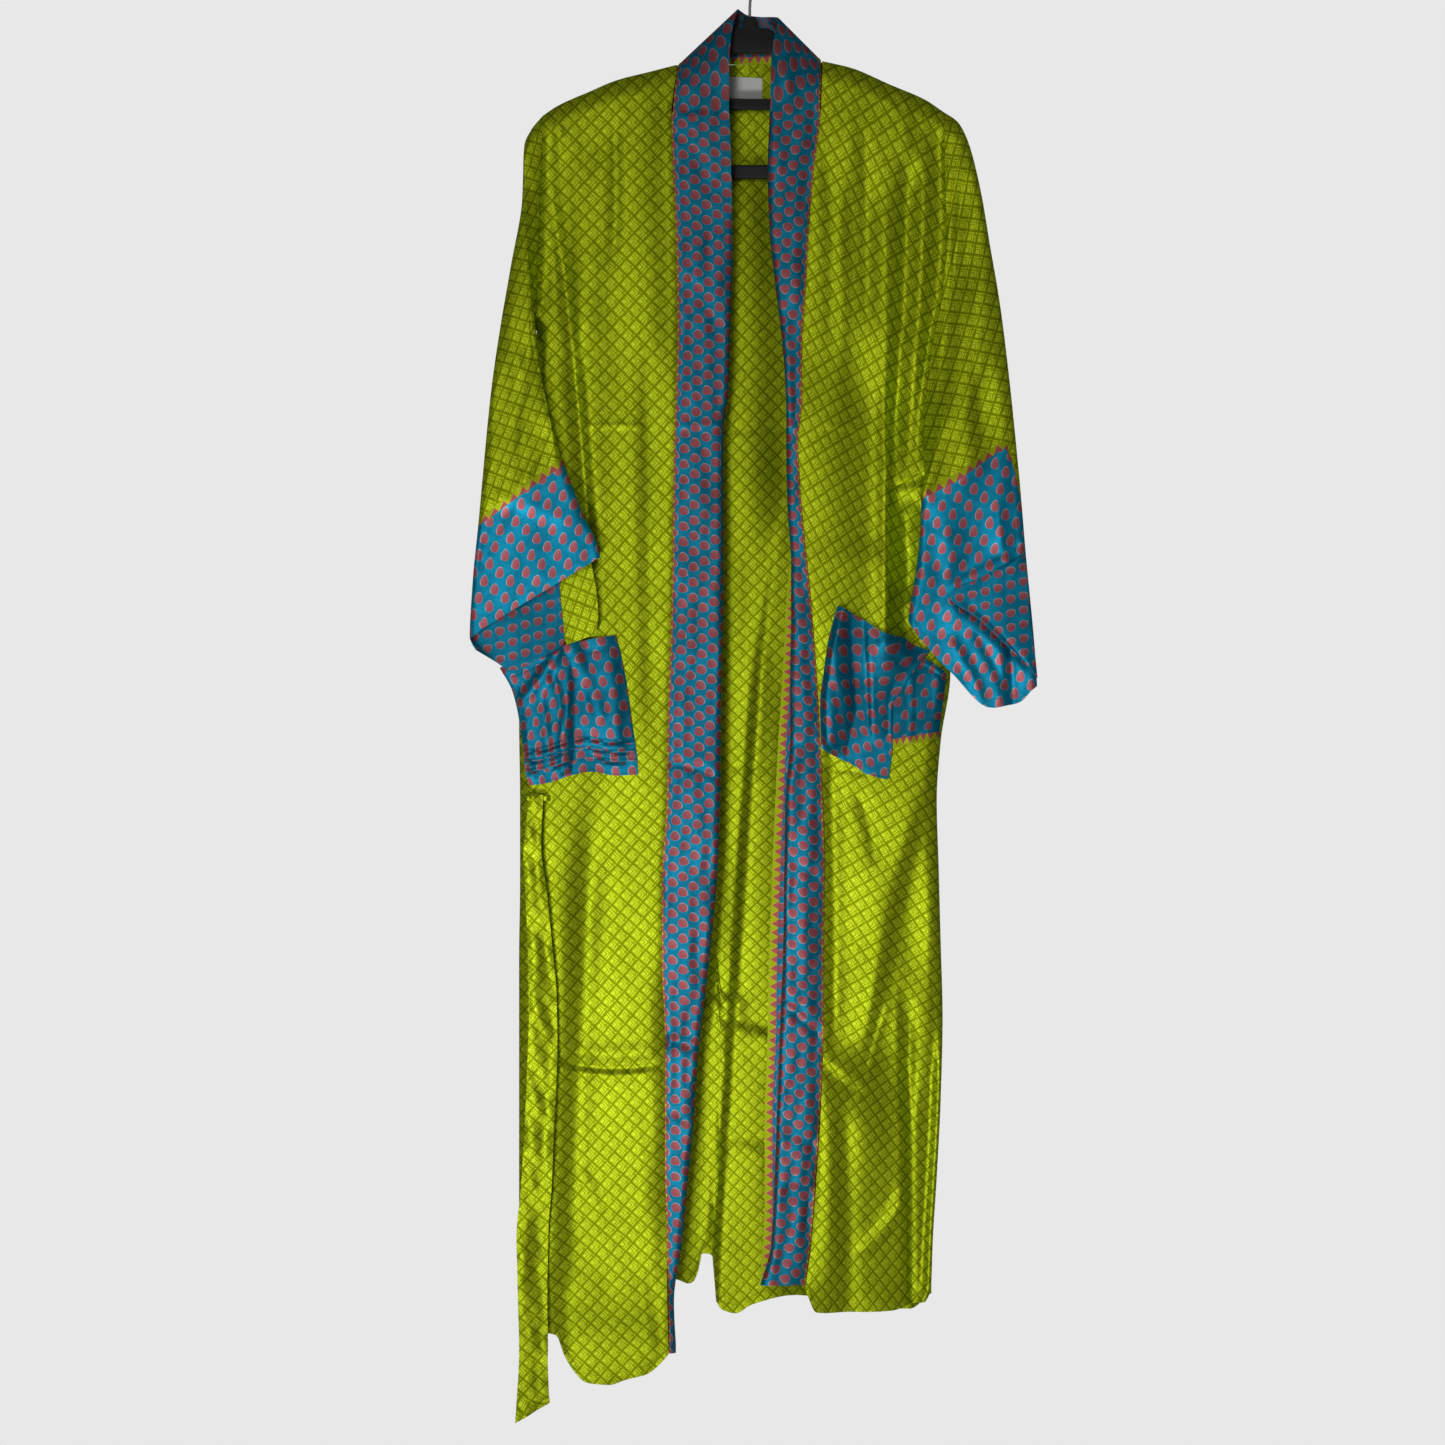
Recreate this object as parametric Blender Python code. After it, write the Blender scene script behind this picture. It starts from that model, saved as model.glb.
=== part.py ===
"""A long kimono robe on its hanger, hung by the hook.

Sizes are in metres. X runs to the viewer's right, Z up, and the front faces -Y.
The origin is the inner top of the hook, where it rests on a rod.
Every cloth panel is a thin closed wall built on a grid of points.
"""

import math

import bmesh
import bpy
import numpy as np

MM = 0.001

CLOTH = 1.2 * MM  # wall of a single layer
BAND_CLOTH = 2.0 * MM  # wall of the doubled band
SEAM = 0.3 * MM  # space left between two pieces at a seam
FRONT = 20.0 * MM  # front panels stand this far before the side seams
BACK = 16.0 * MM  # back panel stands this far behind them
ROUND_TOP = 24.0 * MM  # rounding of the cloth over the hanger
ROUND_SIDE = 16.0 * MM  # rounding of the cloth at the side seams
UNDERARM_L = -385.0 * MM
UNDERARM_R = -544.0 * MM
BAND_WIDTH = 58.0 * MM
BAND_ROLL = 6.0 * MM  # radius at which the band turns under
NECK_HALF = 75.0 * MM
POCKET_STAND = 7.5 * MM  # how far a pocket bellies out
HANGER_HALF_THICK = 4.0 * MM
WIRE_RADIUS = 1.5 * MM
HOOK_INNER_RADIUS = 17.0 * MM
BELT_CLOTH = 1.2 * MM
BELT_FRONT_Y = -35.0 * MM  # where the front tail of the belt hangs
BELT_TURN = 3.4 * MM  # radius at which the belt turns over its carrier
BELT_REAR_SHORTER = 85.0 * MM
SLEEVE_FOLD_Y = -35.2 * MM
CUFF_FOLD_Y = -50.4 * MM
CUFF_FOLD_BULGE = 1.6 * MM
BAND_STAND = 2.5 * MM  # how far the front bands stand before the panels
FACING_GAP = 0.4 * MM

PLAIN_COLUMNS = ("t", "across", "down", "share")
ROUNDING_STEPS = (0.0, 0.5, 2.0, 5.0, 10.0, 17.0)  # insets of the first columns and rows, mm
UNDERARM_STEPS = (20.0, 11.0, 5.0, 1.5, 0.0)  # heights of rows above an underarm, mm


class Table:
    """Sizes in millimetres under named columns, read as smooth curves along the first column."""

    def __init__(self, columns, rows, unit=MM):
        self.columns = columns.split()
        data = np.array(sorted(rows), dtype=float)
        for index, column in enumerate(self.columns):
            if column not in PLAIN_COLUMNS:
                data[:, index] *= unit
        self.data = data

    def at(self, column, key):
        xs = self.data[:, 0]
        ys = self.data[:, self.columns.index(column)]
        steps = np.diff(xs)
        rises = np.diff(ys) / steps
        slopes = np.zeros(len(xs))
        slopes[0] = rises[0]
        slopes[-1] = rises[-1]
        for k in range(1, len(xs) - 1):
            if rises[k - 1] * rises[k] > 0:
                w1 = 2 * steps[k] + steps[k - 1]
                w2 = steps[k] + 2 * steps[k - 1]
                slopes[k] = (w1 + w2) / (w1 / rises[k - 1] + w2 / rises[k])
        key = np.clip(np.asarray(key, dtype=float), xs[0], xs[-1])
        k = np.clip(np.searchsorted(xs, key) - 1, 0, len(steps) - 1)
        h = steps[k]
        s = (key - xs[k]) / h
        value = (1 + 2 * s) * (1 - s) ** 2 * ys[k] + s * (1 - s) ** 2 * h * slopes[k]
        return value + s * s * (3 - 2 * s) * ys[k + 1] - s * s * (1 - s) * h * slopes[k + 1]


# Shoulder seams.
SHOULDER_L = Table("x z", (
    (-212, -165),
    (-197, -155),
    (-163, -140),
    (-137, -129),
    (-102, -120),
    (-75, -113),
))
SHOULDER_R = Table("x z", (
    (73, -109),
    (103, -116),
    (145, -134),
    (180, -149),
    (198, -161),
))
# Edges of the two front panels by height: the side or armhole, and the seam to the band.
FRONT_L = Table("z side edge", (
    (-1464, -235, -82),
    (-1379, -236, -84),
    (-1316, -237, -85),
    (-1225, -237, -87),
    (-1112, -237, -87),
    (-1030, -237, -90),
    (-953, -236, -90),
    (-867, -236, -85),
    (-785, -237, -84),
    (-704, -236, -81),
    (-622, -234, -79),
    (-530, -229, -78),
    (-459, -225, -76),
    (-388, -219, -74),
    (-306, -216, -75),
    (-235, -214, -78),
    (-169, -212, -80),
    (-116, -212, -74),
))
FRONT_R = Table("z side edge", (
    (-1393, 174, 55),
    (-1368, 186, 56),
    (-1318, 188, 62),
    (-1254, 192, 67),
    (-1175, 196, 72),
    (-1091, 198, 75),
    (-1012, 196, 75),
    (-938, 194, 76),
    (-867, 192, 74),
    (-808, 196, 72),
    (-737, 206, 68),
    (-663, 194, 62),
    (-602, 186, 56),
    (-546, 179, 51),
    (-502, 177, 49),
    (-459, 179, 53),
    (-402, 186, 53),
    (-344, 197, 57),
    (-286, 200, 60),
    (-226, 199, 65),
    (-165, 198, 72),
    (-113, 198, 74),
))
# Hem heights.
HEM_L = Table("across z", (
    (0, -1399),
    (0.13, -1409),
    (0.25, -1414),
    (0.3, -1435),
    (0.37, -1452),
    (0.45, -1462),
    (0.6, -1464),
    (0.7, -1459),
    (0.85, -1452),
    (0.94, -1441),
    (1, -1431),
))
HEM_R = Table("across z", (
    (0, -1381),
    (0.12, -1383),
    (0.25, -1388),
    (0.5, -1389),
    (0.82, -1389),
    (0.9, -1388),
    (1, -1365),
))
HEM_BACK = Table("x z", (
    (-237, -1403),
    (-198, -1415),
    (-134, -1407),
    (-76, -1362),
    (-62, -1367),
    (-54, -1361),
    (-49, -1336),
    (-38, -1337),
    (-33, -1387),
    (-24, -1394),
    (-14, -1396),
    (2, -1387),
    (42, -1378),
    (114, -1390),
    (165, -1393),
    (186, -1374),
))
# The long roll of the back panel.
ROLL = Table("z x height", (
    (-1404, -37, 11),
    (-1332, -34, 11),
    (-1136, -22, 10),
    (-1014, -13, 9),
    (-919, -7, 8),
    (-738, 8, 6),
    (-620, 23, 3),
    (-538, 42, 0),
))
# The front bands by height: the seam, and how far across they show before turning under.
BAND_L = Table("z seam fold", (
    (-1423, -82, -75.5),
    (-1380, -84, -77.5),
    (-1316, -85, -69),
    (-1255, -86, -63),
    (-1193, -87, -57),
    (-1132, -87, -53),
    (-1071, -89, -46),
    (-1010, -90, -39),
    (-953, -90, -34),
    (-857, -85, -30),
    (-755, -83, -29),
    (-657, -80, -27),
    (-561, -78, -27),
    (-490, -77, -27),
    (-450, -76, -22),
    (-388, -74, -20),
    (-306, -75, -18),
    (-235, -78, -19),
    (-165, -80, -21),
))
BAND_R = Table("z seam fold", (
    (-1373, 56, 7),
    (-1318, 62, 22),
    (-1254, 67, 25),
    (-1175, 72, 28),
    (-1091, 75, 31),
    (-1012, 75, 34),
    (-938, 76, 35),
    (-865, 74, 36),
    (-804, 71, 41),
    (-738, 69, 41),
    (-683, 64, 42),
    (-629, 59, 42),
    (-564, 52, 38),
    (-510, 50, 37),
    (-479, 51, 37),
    (-445, 53, 36),
    (-402, 53, 33),
    (-344, 57, 26),
    (-286, 60, 20),
    (-224, 66, 18),
    (-165, 72, 20),
))
# The band round the neck, by station from the -X front to the +X front.
BAND_NECK = Table("share seam_x seam_y seam_z free_x free_y free_z", (
    (0, -78.7, -20, -165.2, -21.4, -23, -165.9),
    (1, -76.8, -19.2, -142.6, -21.4, -23, -125.1),
    (2, -74.6, -15, -125.4, -19.4, -19, -89.5),
    (3, -73.1, -1, -112.5, -12.2, -4, -56.3),
    (4, -67.7, 9, -109.8, -8, 6, -57),
    (5, -51.3, 15.5, -108.8, -2.8, 12, -58.6),
    (6, 0.3, 17, -109, 7.6, 15, -59.9),
    (7, 51.9, 15.5, -107.3, 16.8, 12, -60.7),
    (8, 67.2, 9, -106.2, 23.9, 6, -62.1),
    (9, 72.9, -1, -107.9, 29.9, -4, -66),
    (10, 72.9, -15, -125.4, 24.5, -19, -89.5),
    (11, 72, -19.2, -142.6, 21.4, -23, -125.1),
    (12, 71.3, -20, -165.2, 20.4, -23, -165.9),
))
# Free edge of the inner half of the +X band.
FACING_R = Table("z free hidden", (
    (-1363, 10, 26),
    (-1277, 15, 37),
    (-1195, 15, 39),
    (-1113, 18, 43),
    (-1021, 20, 46),
    (-939, 23, 47),
    (-867, 26, 49),
    (-806, 29, 53),
    (-744, 33, 53),
    (-683, 36, 55),
    (-634, 40, 55),
))
# Sleeves and cuffs: the outer fold and the inner fold down the arm, and how far each layer stands off.
ARM_L = Table("t out_x out_z out_y in_x in_z in_y front back", (
    (0, -212, -165, 0, -219, -385, 0, 20, 16),
    (0.1, -224, -180, -2, -223, -395, -16, 19, 16),
    (0.2, -231, -197, -4, -222, -409, -30, 17, 14),
    (0.35, -233, -253, -9, -212, -446, -40, 14, 11),
    (0.5, -244, -321, -16, -204, -474, -42, 12, 9),
    (0.65, -254, -383, -24, -198, -496, -42, 9, 8),
    (0.8, -263, -450, -32, -194, -511, -42, 7, 7),
    (1, -275, -582, -40, -191, -520, -42, 6, 6),
    (1.35, -281, -644, -41, -170, -575, -42, 6, 6),
    (1.7, -284, -701, -42, -152, -621, -42, 6, 6),
    (1.95, -263, -733, -42, -187, -710, -42, 6, 6),
))
ARM_R = Table("t out_x out_z out_y in_x in_z in_y front back", (
    (0, 198, -161, 0, 179, -544, 0, 20, 16),
    (0.1, 213, -172, -2, 180, -546, -9, 19, 16),
    (0.2, 223, -191, -4, 180, -549, -18, 17, 15),
    (0.35, 236, -243, -9, 179, -551, -28, 15, 13),
    (0.5, 245, -300, -16, 178, -554, -36, 12, 11),
    (0.65, 255, -365, -24, 178, -556, -40, 10, 9),
    (0.8, 264, -445, -32, 178, -559, -42, 8, 7),
    (1, 274, -554, -40, 176, -565, -42, 6, 6),
    (1.3, 279, -615, -41, 170, -619, -42, 6, 6),
    (1.7, 289, -725, -42, 160, -685, -42, 6, 6),
    (2, 293, -801, -42, 157, -740, -42, 6, 6),
))
# Where the cuff seams and hems run, in the same measure down the arm, across each layer.
CUFF_ENDS = Table("across seam_l seam_r seam_back hem_l hem_r hem_back_l hem_back_r", (
    (0, 1, 1.03, 1, 1.72, 1.8, 1.78, 1.8),
    (0.13, 1, 0.9, 1, 1.7, 1.89, 1.93, 1.86),
    (0.23, 1, 0.86, 1, 1.7, 1.93, 1.95, 1.9),
    (0.41, 1, 0.89, 1, 1.7, 1.98, 1.95, 1.93),
    (0.66, 1, 0.93, 1, 1.7, 1.89, 1.95, 1.87),
    (0.84, 1, 0.97, 1, 1.7, 1.81, 1.9, 1.8),
    (1, 1, 1, 1, 1.7, 1.7, 1.72, 1.7),
), unit=1.0)
# The hanging piece of the -X sleeve.
SLEEVE_FOLD_L = Table("down left right", (
    (0, -200, -165),
    (0.5, -197, -156),
    (0.8, -192, -154),
    (1, -186, -157),
))
SLEEVE_FOLD_L_ENDS = Table("across top bottom", (
    (0, -619, -709),
    (0.5, -615, -704),
    (1, -611, -698),
))
# The turned-over layer of the +X cuff.
CUFF_FOLD_R = Table("down left z_left right z_right", (
    (0, 268, -623, 277, -619),
    (0.12, 236, -640, 279, -636),
    (0.3, 201, -660, 281, -664),
    (0.55, 231, -684, 284, -697),
    (0.8, 262, -713, 288, -723),
    (1, 282, -732, 290, -743),
))
# Pockets.
POCKET_L = Table("down left right", (
    (0, -255, -137),
    (0.2, -242, -130),
    (0.45, -235, -124),
    (0.7, -231, -119),
    (0.88, -229, -115),
    (1, -225, -114),
))
POCKET_L_ENDS = Table("across top bottom", (
    (0, -732, -852),
    (0.15, -725, -850),
    (0.35, -716, -843),
    (0.57, -709, -838),
    (0.8, -703, -842),
    (1, -699, -841),
))
POCKET_R = Table("down left right", (
    (0, 89, 184),
    (0.25, 80, 159),
    (0.45, 76, 145),
    (0.7, 72, 145),
    (1, 72, 141),
))
POCKET_R_ENDS = Table("across top bottom", (
    (0, -669, -814),
    (0.25, -682, -823),
    (0.55, -699, -834),
    (0.8, -710, -843),
    (1, -715, -846),
))
POCKET_FOLD_R = Table("down left right", (
    (0, 168, 199),
    (0.3, 146, 197),
    (0.6, 139, 194),
    (1, 139, 191),
))
POCKET_FOLD_R_ENDS = Table("across top bottom", (
    (0, -719, -814),
    (0.5, -726, -810),
    (1, -738, -805),
))
# The front tail of the belt.
BELT = Table("z x width sway", (
    (-1499, -221, 35, 0),
    (-1425, -220, 29, 1),
    (-1354, -221, 30, -2),
    (-1308, -221, 32, -1),
    (-1259, -217, 31, 1),
    (-1198, -214, 30, 2),
    (-1133, -211, 30, 0),
    (-1066, -210, 27, -1),
    (-1020, -213, 25, 1),
    (-963, -217, 22, 2),
    (-917, -221, 18, 1),
    (-863, -217, 14, 0),
))
BELT_TIP_SLANT = 20.0 * MM
HEM_SHARES = (0.43, 0.452, 0.472, 0.484)  # extra columns where the back hem steps
LABEL_LEFT = -41.0
LABEL_RIGHT = 13.0
LABEL_TOP = -120.5
LABEL_HEIGHT = 22.0
# Half outlines of the hanger in millimetres, +X side, from the middle outward and back.
HANGER_OUTSIDE = (
    (6, -64), (7, -75), (20, -76), (31, -86), (60, -109), (75, -123), (110, -130),
    (145, -137), (180, -151.4), (196, -162), (204, -175), (202, -194), (194, -209), (182, -222), (165, -230),
)
HANGER_UPPER_GAP = ((22, -101), (60, -120), (75, -133), (100, -138), (122, -148))
HANGER_LOWER_GAP = (
    (145, -159), (165, -161), (183, -170), (192, -181), (189, -200), (177, -212), (162, -216),
)

# Folds of the two fronts: each runs from one point to another, rises toward the viewer or sinks.
FRONT_FOLDS = Table("share x_top z_top x_low z_low width rise", (
    (1, -194, -184, -184, -388, 8, -3),
    (2, -153, -194, -168, -388, 16, 3),
    (3, -184, -400, -163, -622, 9, -4),
    (4, -163, -870, -190, -1440, 14, -6),
    (5, -139, -870, -150, -1480, 18, 4),
    (6, -112, -960, -117, -1480, 13, -2),
    (7, 139, -204, 141, -671, 9, 4),
    (8, 157, -545, 158, -705, 12, -9),
    (9, 167, -204, 160, -388, 8, -4),
    (10, 163, -1061, 165, -1400, 5, -4),
    (11, 122, -890, 138, -1400, 18, 3),
    (12, 98, -1153, 101, -1400, 13, -3),
))
BACK_FOLDS = Table("share x_top z_top x_low z_low width rise", (
    (1, -150, -500, -165, -1420, 24, 4),
    (2, 118, -600, 128, -1400, 24, 4),
    (3, -60, -300, -75, -1370, 20, -3),
    (4, 60, -260, 40, -900, 22, 3),
))
SLEEVE_FOLDS = Table("share x_top z_top x_low z_low width rise", (
    (1, -226, -215, -214, -372, 6, -5),
    (2, -247, -330, -224, -560, 12, 3),
    (3, -268, -480, -215, -640, 14, 2),
    (4, 214, -220, 196, -470, 8, -4),
    (5, 236, -300, 214, -560, 12, 3),
    (6, 262, -470, 240, -690, 13, 2),
))


def clip01(value):
    return np.clip(value, 0.0, 1.0)


def ease(value):
    value = clip01(value)
    return value * value * (3 - 2 * value)


def quarter(distance, radius):
    """Rises from 0 at an edge to 1 at one radius in, as a quarter circle does."""
    return np.sqrt(np.clip(1 - (1 - clip01(distance / radius)) ** 2, 0.0, 1.0))


def folds(table, x, z):
    total = np.zeros(np.broadcast(x, z).shape)
    for _, x0, z0, x1, z1, width, rise in table.data:
        along = (z0 - z) / (z0 - z1)
        across = (x - x0 - (x1 - x0) * along) / width
        total = total + rise * np.exp(-across * across) * ease(along / 0.22) * ease((1.12 - along) / 0.22)
    return total


def crest(x):
    """Height of the shoulder line above any x; inside the neck it runs clear of the panels."""
    left = SHOULDER_L.at("z", x)
    right = SHOULDER_R.at("z", x)
    return np.where(x < 0, left, right)


def side_factor(inset, z, underarm):
    closing = clip01(1 - (z - underarm) / ROUND_SIDE)
    return np.sqrt(np.clip(1 - closing ** 2 * (1 - clip01(inset / ROUND_SIDE)) ** 2, 0.0, 1.0))


def hem_flare(x, z):
    return 3.0 * MM * np.sin(x / (17 * MM)) * ease((-1.25 - z) / 0.2)


def inset_l(x, z):
    return x - FRONT_L.at("side", z)


def inset_r(x, z):
    return FRONT_R.at("side", z) - x


def front_y(x, z):
    """The outer face of the two front panels."""
    left = x < 0
    inset = np.where(left, inset_l(x, z), inset_r(x, z))
    underarm = np.where(left, UNDERARM_L, UNDERARM_R)
    rounding = quarter(crest(x) - z, ROUND_TOP) * side_factor(inset, z, underarm)
    lift = (folds(FRONT_FOLDS, x, z) + hem_flare(x, z)) * rounding * ease(inset / (14 * MM))
    return -(SEAM / 2 + (FRONT - SEAM / 2) * rounding) - lift


def back_y(x, z):
    """The outer face of the back panel, with the long roll that stands forward in the opening."""
    top = crest(x) + ROUND_TOP * ease((NECK_HALF + 2 * MM - np.abs(x)) / (16 * MM))
    rounding = quarter(top - z, ROUND_TOP)
    rounding = rounding * side_factor(inset_l(x, z), z, UNDERARM_L)
    rounding = rounding * side_factor(inset_r(x, z), z, UNDERARM_R)
    roll = ROLL.at("height", z)
    past = x - ROLL.at("x", z)
    roll = roll * ease(past / (9 * MM) + 0.5) * (1 - ease((past - 30 * MM) / (95 * MM)))
    lift = (folds(BACK_FOLDS, x, z) - hem_flare(x, z)) * rounding
    return SEAM / 2 + (BACK - SEAM / 2) * rounding + lift - roll


def normals(grid, closed):
    """Unit normals of a grid of points; the columns of a closed grid join up."""
    down = np.gradient(grid, axis=0)
    if closed:
        across = np.roll(grid, -1, axis=1) - np.roll(grid, 1, axis=1)
    else:
        across = np.gradient(grid, axis=1)
    n = np.cross(down, across)
    return n / np.maximum(np.linalg.norm(n, axis=2, keepdims=True), 1e-12)


def turned_normals(grid, toward, closed=False, level=None):
    """Unit normals on the side that faces the given direction, or the middle of a closed grid."""
    n = normals(grid, closed)
    if level is not None:
        n[level, 0] = 0.0
        n = n / np.maximum(np.linalg.norm(n, axis=2, keepdims=True), 1e-12)
    if closed:
        inward = grid.mean(axis=1, keepdims=True) - grid
    else:
        inward = np.broadcast_to(np.array(toward, dtype=float), grid.shape)
    return -n if (n * inward).sum() < 0 else n


def moved(grid, distance, toward, level=None):
    return grid + turned_normals(grid, toward, level=level) * np.asarray(distance)[..., None]


def material(name, colour, roughness, metallic=0.0):
    made = bpy.data.materials.new(name)
    made.use_nodes = True
    shader = made.node_tree.nodes["Principled BSDF"]
    shader.inputs["Base Color"].default_value = (*colour, 1.0)
    shader.inputs["Roughness"].default_value = roughness
    shader.inputs["Metallic"].default_value = metallic
    return made


def add_mesh(name, points, faces, paint, smooth=True):
    mesh = bpy.data.meshes.new(name)
    mesh.from_pydata([tuple(p) for p in points], [], faces)
    shape = bmesh.new()
    shape.from_mesh(mesh)
    bmesh.ops.recalc_face_normals(shape, faces=shape.faces)
    if shape.calc_volume(signed=True) < 0:
        bmesh.ops.reverse_faces(shape, faces=shape.faces)
    shape.to_mesh(mesh)
    shape.free()
    for polygon in mesh.polygons:
        polygon.use_smooth = smooth
    mesh.materials.append(paint)
    made = bpy.data.objects.new(name, mesh)
    bpy.context.scene.collection.objects.link(made)
    made.parent = ROOT
    return made


def add_wall(name, outer, inner, paint, closed=False):
    """A closed thin wall between two grids; a closed grid makes a tube open at both ends."""
    rows, columns = outer.shape[:2]
    points = np.concatenate((outer.reshape(-1, 3), inner.reshape(-1, 3)))
    shift = rows * columns

    def at(row, column):
        return row * columns + column % columns

    faces = []
    last = columns if closed else columns - 1
    for row in range(rows - 1):
        for column in range(last):
            a, b = at(row, column), at(row, column + 1)
            c, d = at(row + 1, column + 1), at(row + 1, column)
            faces.append((a, b, c, d))
            faces.append((shift + a, shift + d, shift + c, shift + b))
    for column in range(last):
        for row in (0, rows - 1):
            a, b = at(row, column), at(row, column + 1)
            faces.append((a, b, shift + b, shift + a))
    if not closed:
        for row in range(rows - 1):
            for column in (0, columns - 1):
                a, b = at(row, column), at(row + 1, column)
                faces.append((a, b, shift + b, shift + a))
    return add_mesh(name, points, faces, paint)


def steps(length, count):
    """Shares of a length from 0 to 1: close together over the rounding, then even."""
    first = np.array(ROUNDING_STEPS) * MM / length
    return np.concatenate((first, np.linspace(first[-1], 1.0, count - len(first) + 1)[1:]))


def row_shares(sides, low_rows):
    """Shares from shoulder to hem, close together at the shoulder and above each underarm.

    Each side gives the heights of its shoulder, its underarm and its hem corner.
    """
    top, _, hem = sides[0]
    heights = [top - inset * MM for inset in ROUNDING_STEPS]
    for side_top, underarm, side_hem in sides:
        for rise in UNDERARM_STEPS:
            share = (side_top - underarm - rise * MM) / (side_top - side_hem)
            heights.append(top + (hem - top) * share)
    for start, end in zip(sorted(heights, reverse=True), sorted(heights, reverse=True)[1:]):
        extra = int((start - end) / (48 * MM))
        heights += [start + (end - start) * (k + 1) / (extra + 1) for k in range(extra)]
    heights += list(np.linspace(min(heights), hem, low_rows + 1)[1:])
    return (top - np.array(sorted(heights, reverse=True))) / (top - hem)


def add_front(name, edges, hem, sign, columns, rows, paint):
    across = steps(150 * MM, columns)[None, :]
    shoulder = SHOULDER_L if sign < 0 else SHOULDER_R
    underarm = UNDERARM_L if sign < 0 else UNDERARM_R
    x_top = edges.at("side", 0) + (edges.at("edge", 0) - edges.at("side", 0)) * across
    top = shoulder.at("z", x_top)
    ends = (float(top[0, 0]), underarm, float(hem.at("z", 0)))
    down = row_shares((ends,), rows)[:, None]
    z = top + (hem.at("z", across) - top) * down
    side = edges.at("side", z) - sign * SEAM / 2
    edge = edges.at("edge", z) + sign * SEAM / 2
    x = side + (edge - side) * across
    outer = np.stack((x, front_y(x, z), z), axis=2)
    armhole = (z > underarm - 1e-6) & (across < 1e-6)
    inner = moved(outer, np.full(outer.shape[:2], CLOTH), (0, 1, 0), level=armhole)
    add_wall(name, outer, inner, paint)
    return z[:, -1], z[armhole[:, 0], 0]


def neck_seam(x):
    """Height of the seam between the back panel and the band round the neck."""
    order = np.argsort(BAND_NECK.data[3:-3, 1])
    return np.interp(x, BAND_NECK.data[3:-3, 1][order], BAND_NECK.data[3:-3, 3][order]) - SEAM


def add_back(name, columns, rows, paint):
    half = steps(220 * MM, columns // 2 + 1) / 2
    across = np.unique(np.concatenate((half, 1 - half, HEM_SHARES)))[None, :]
    x_left = FRONT_L.at("side", 0)
    x_right = FRONT_R.at("side", 0)
    x_top = x_left + (x_right - x_left) * across
    top = np.where(np.abs(x_top) < NECK_HALF - 2 * MM, neck_seam(x_top), crest(x_top))
    low_left = FRONT_L.at("side", -2)
    low_right = FRONT_R.at("side", -1.36)
    hem = HEM_BACK.at("z", low_left + (low_right - low_left) * across)
    left_ends = (float(top[0, 0]), UNDERARM_L, float(hem[0, 0]))
    right_ends = (float(top[0, -1]), UNDERARM_R, float(hem[0, -1]))
    down = row_shares((left_ends, right_ends), rows)[:, None]
    z = top + (hem - top) * down
    left = FRONT_L.at("side", z) + SEAM / 2
    right = FRONT_R.at("side", np.maximum(z, -1.36)) - SEAM / 2
    x = left + (right - left) * across
    outer = np.stack((x, back_y(x, z), z), axis=2)
    left_hole = (z > UNDERARM_L - 1e-6) & (across < 1e-6)
    right_hole = (z > UNDERARM_R - 1e-6) & (across > 1 - 1e-6)
    wall = np.full(outer.shape[:2], CLOTH)
    inner = moved(outer, wall, (0, -1, 0), level=left_hole | right_hole)
    add_wall(name, outer, inner, paint)
    return z[left_hole[:, 0], 0], z[right_hole[:, -1], -1]


def band_section(visible, width, radius, share):
    """Offsets across the band: flat as far as it shows, then turned under."""
    flat = visible
    start = 0.0
    if visible < radius:
        start = math.asin(1 - max(visible, 0.0) / radius)
        flat = 0.0
    elif visible < width:
        low, high = visible - radius, visible
        for _ in range(40):
            flat = (low + high) / 2
            reach = flat + radius * math.sin(min(math.pi / 2, (width - flat) / radius))
            low, high = (flat, high) if reach < visible else (low, flat)
    run = share * max(width, visible)
    turn = np.clip((run - flat) / radius, 0.0, None) + start
    bent = np.minimum(turn, math.pi)
    straight = np.where(turn > math.pi, (turn - math.pi) * radius, 0.0)
    out = np.where(run <= flat, run, flat + radius * (np.sin(bent) - math.sin(start)) - straight)
    back = np.where(run <= flat, 0.0, radius * (math.cos(start) - np.cos(bent)))
    return out, back + 1.7 * MM * math.sin(start)


def band_row(edges, sign, z, share):
    panel = FRONT_L if sign < 0 else FRONT_R
    seam = float(panel.at("edge", z)) - sign * SEAM / 2
    visible = abs(float(edges.at("fold", z)) - seam)
    out, back = band_section(visible, BAND_WIDTH, BAND_ROLL, share)
    y = front_y(np.array(seam), np.array(z)) - BAND_STAND * ease(share * 3)
    return np.stack((seam - sign * out, y + back, np.full(len(share), z)), axis=1)


def band_grid(columns, left_heights, neck_rows, right_heights):
    share = np.linspace(0.0, 1.0, columns)
    grid = []
    for z in sorted(left_heights[left_heights < BAND_L.data[-1, 0]]):
        grid.append(band_row(BAND_L, -1, z, share))
    first, last = BAND_NECK.data[0, 0], BAND_NECK.data[-1, 0]
    for station in np.linspace(first, last, neck_rows):
        seam = np.array([BAND_NECK.at(c, station) for c in ("seam_x", "seam_y", "seam_z")])
        free = np.array([BAND_NECK.at(c, station) for c in ("free_x", "free_y", "free_z")])
        grid.append(seam + (free - seam) * share[:, None])
    for z in sorted(right_heights[right_heights < BAND_R.data[-1, 0]], reverse=True):
        grid.append(band_row(BAND_R, 1, z, share))
    return np.array(grid)


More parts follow.
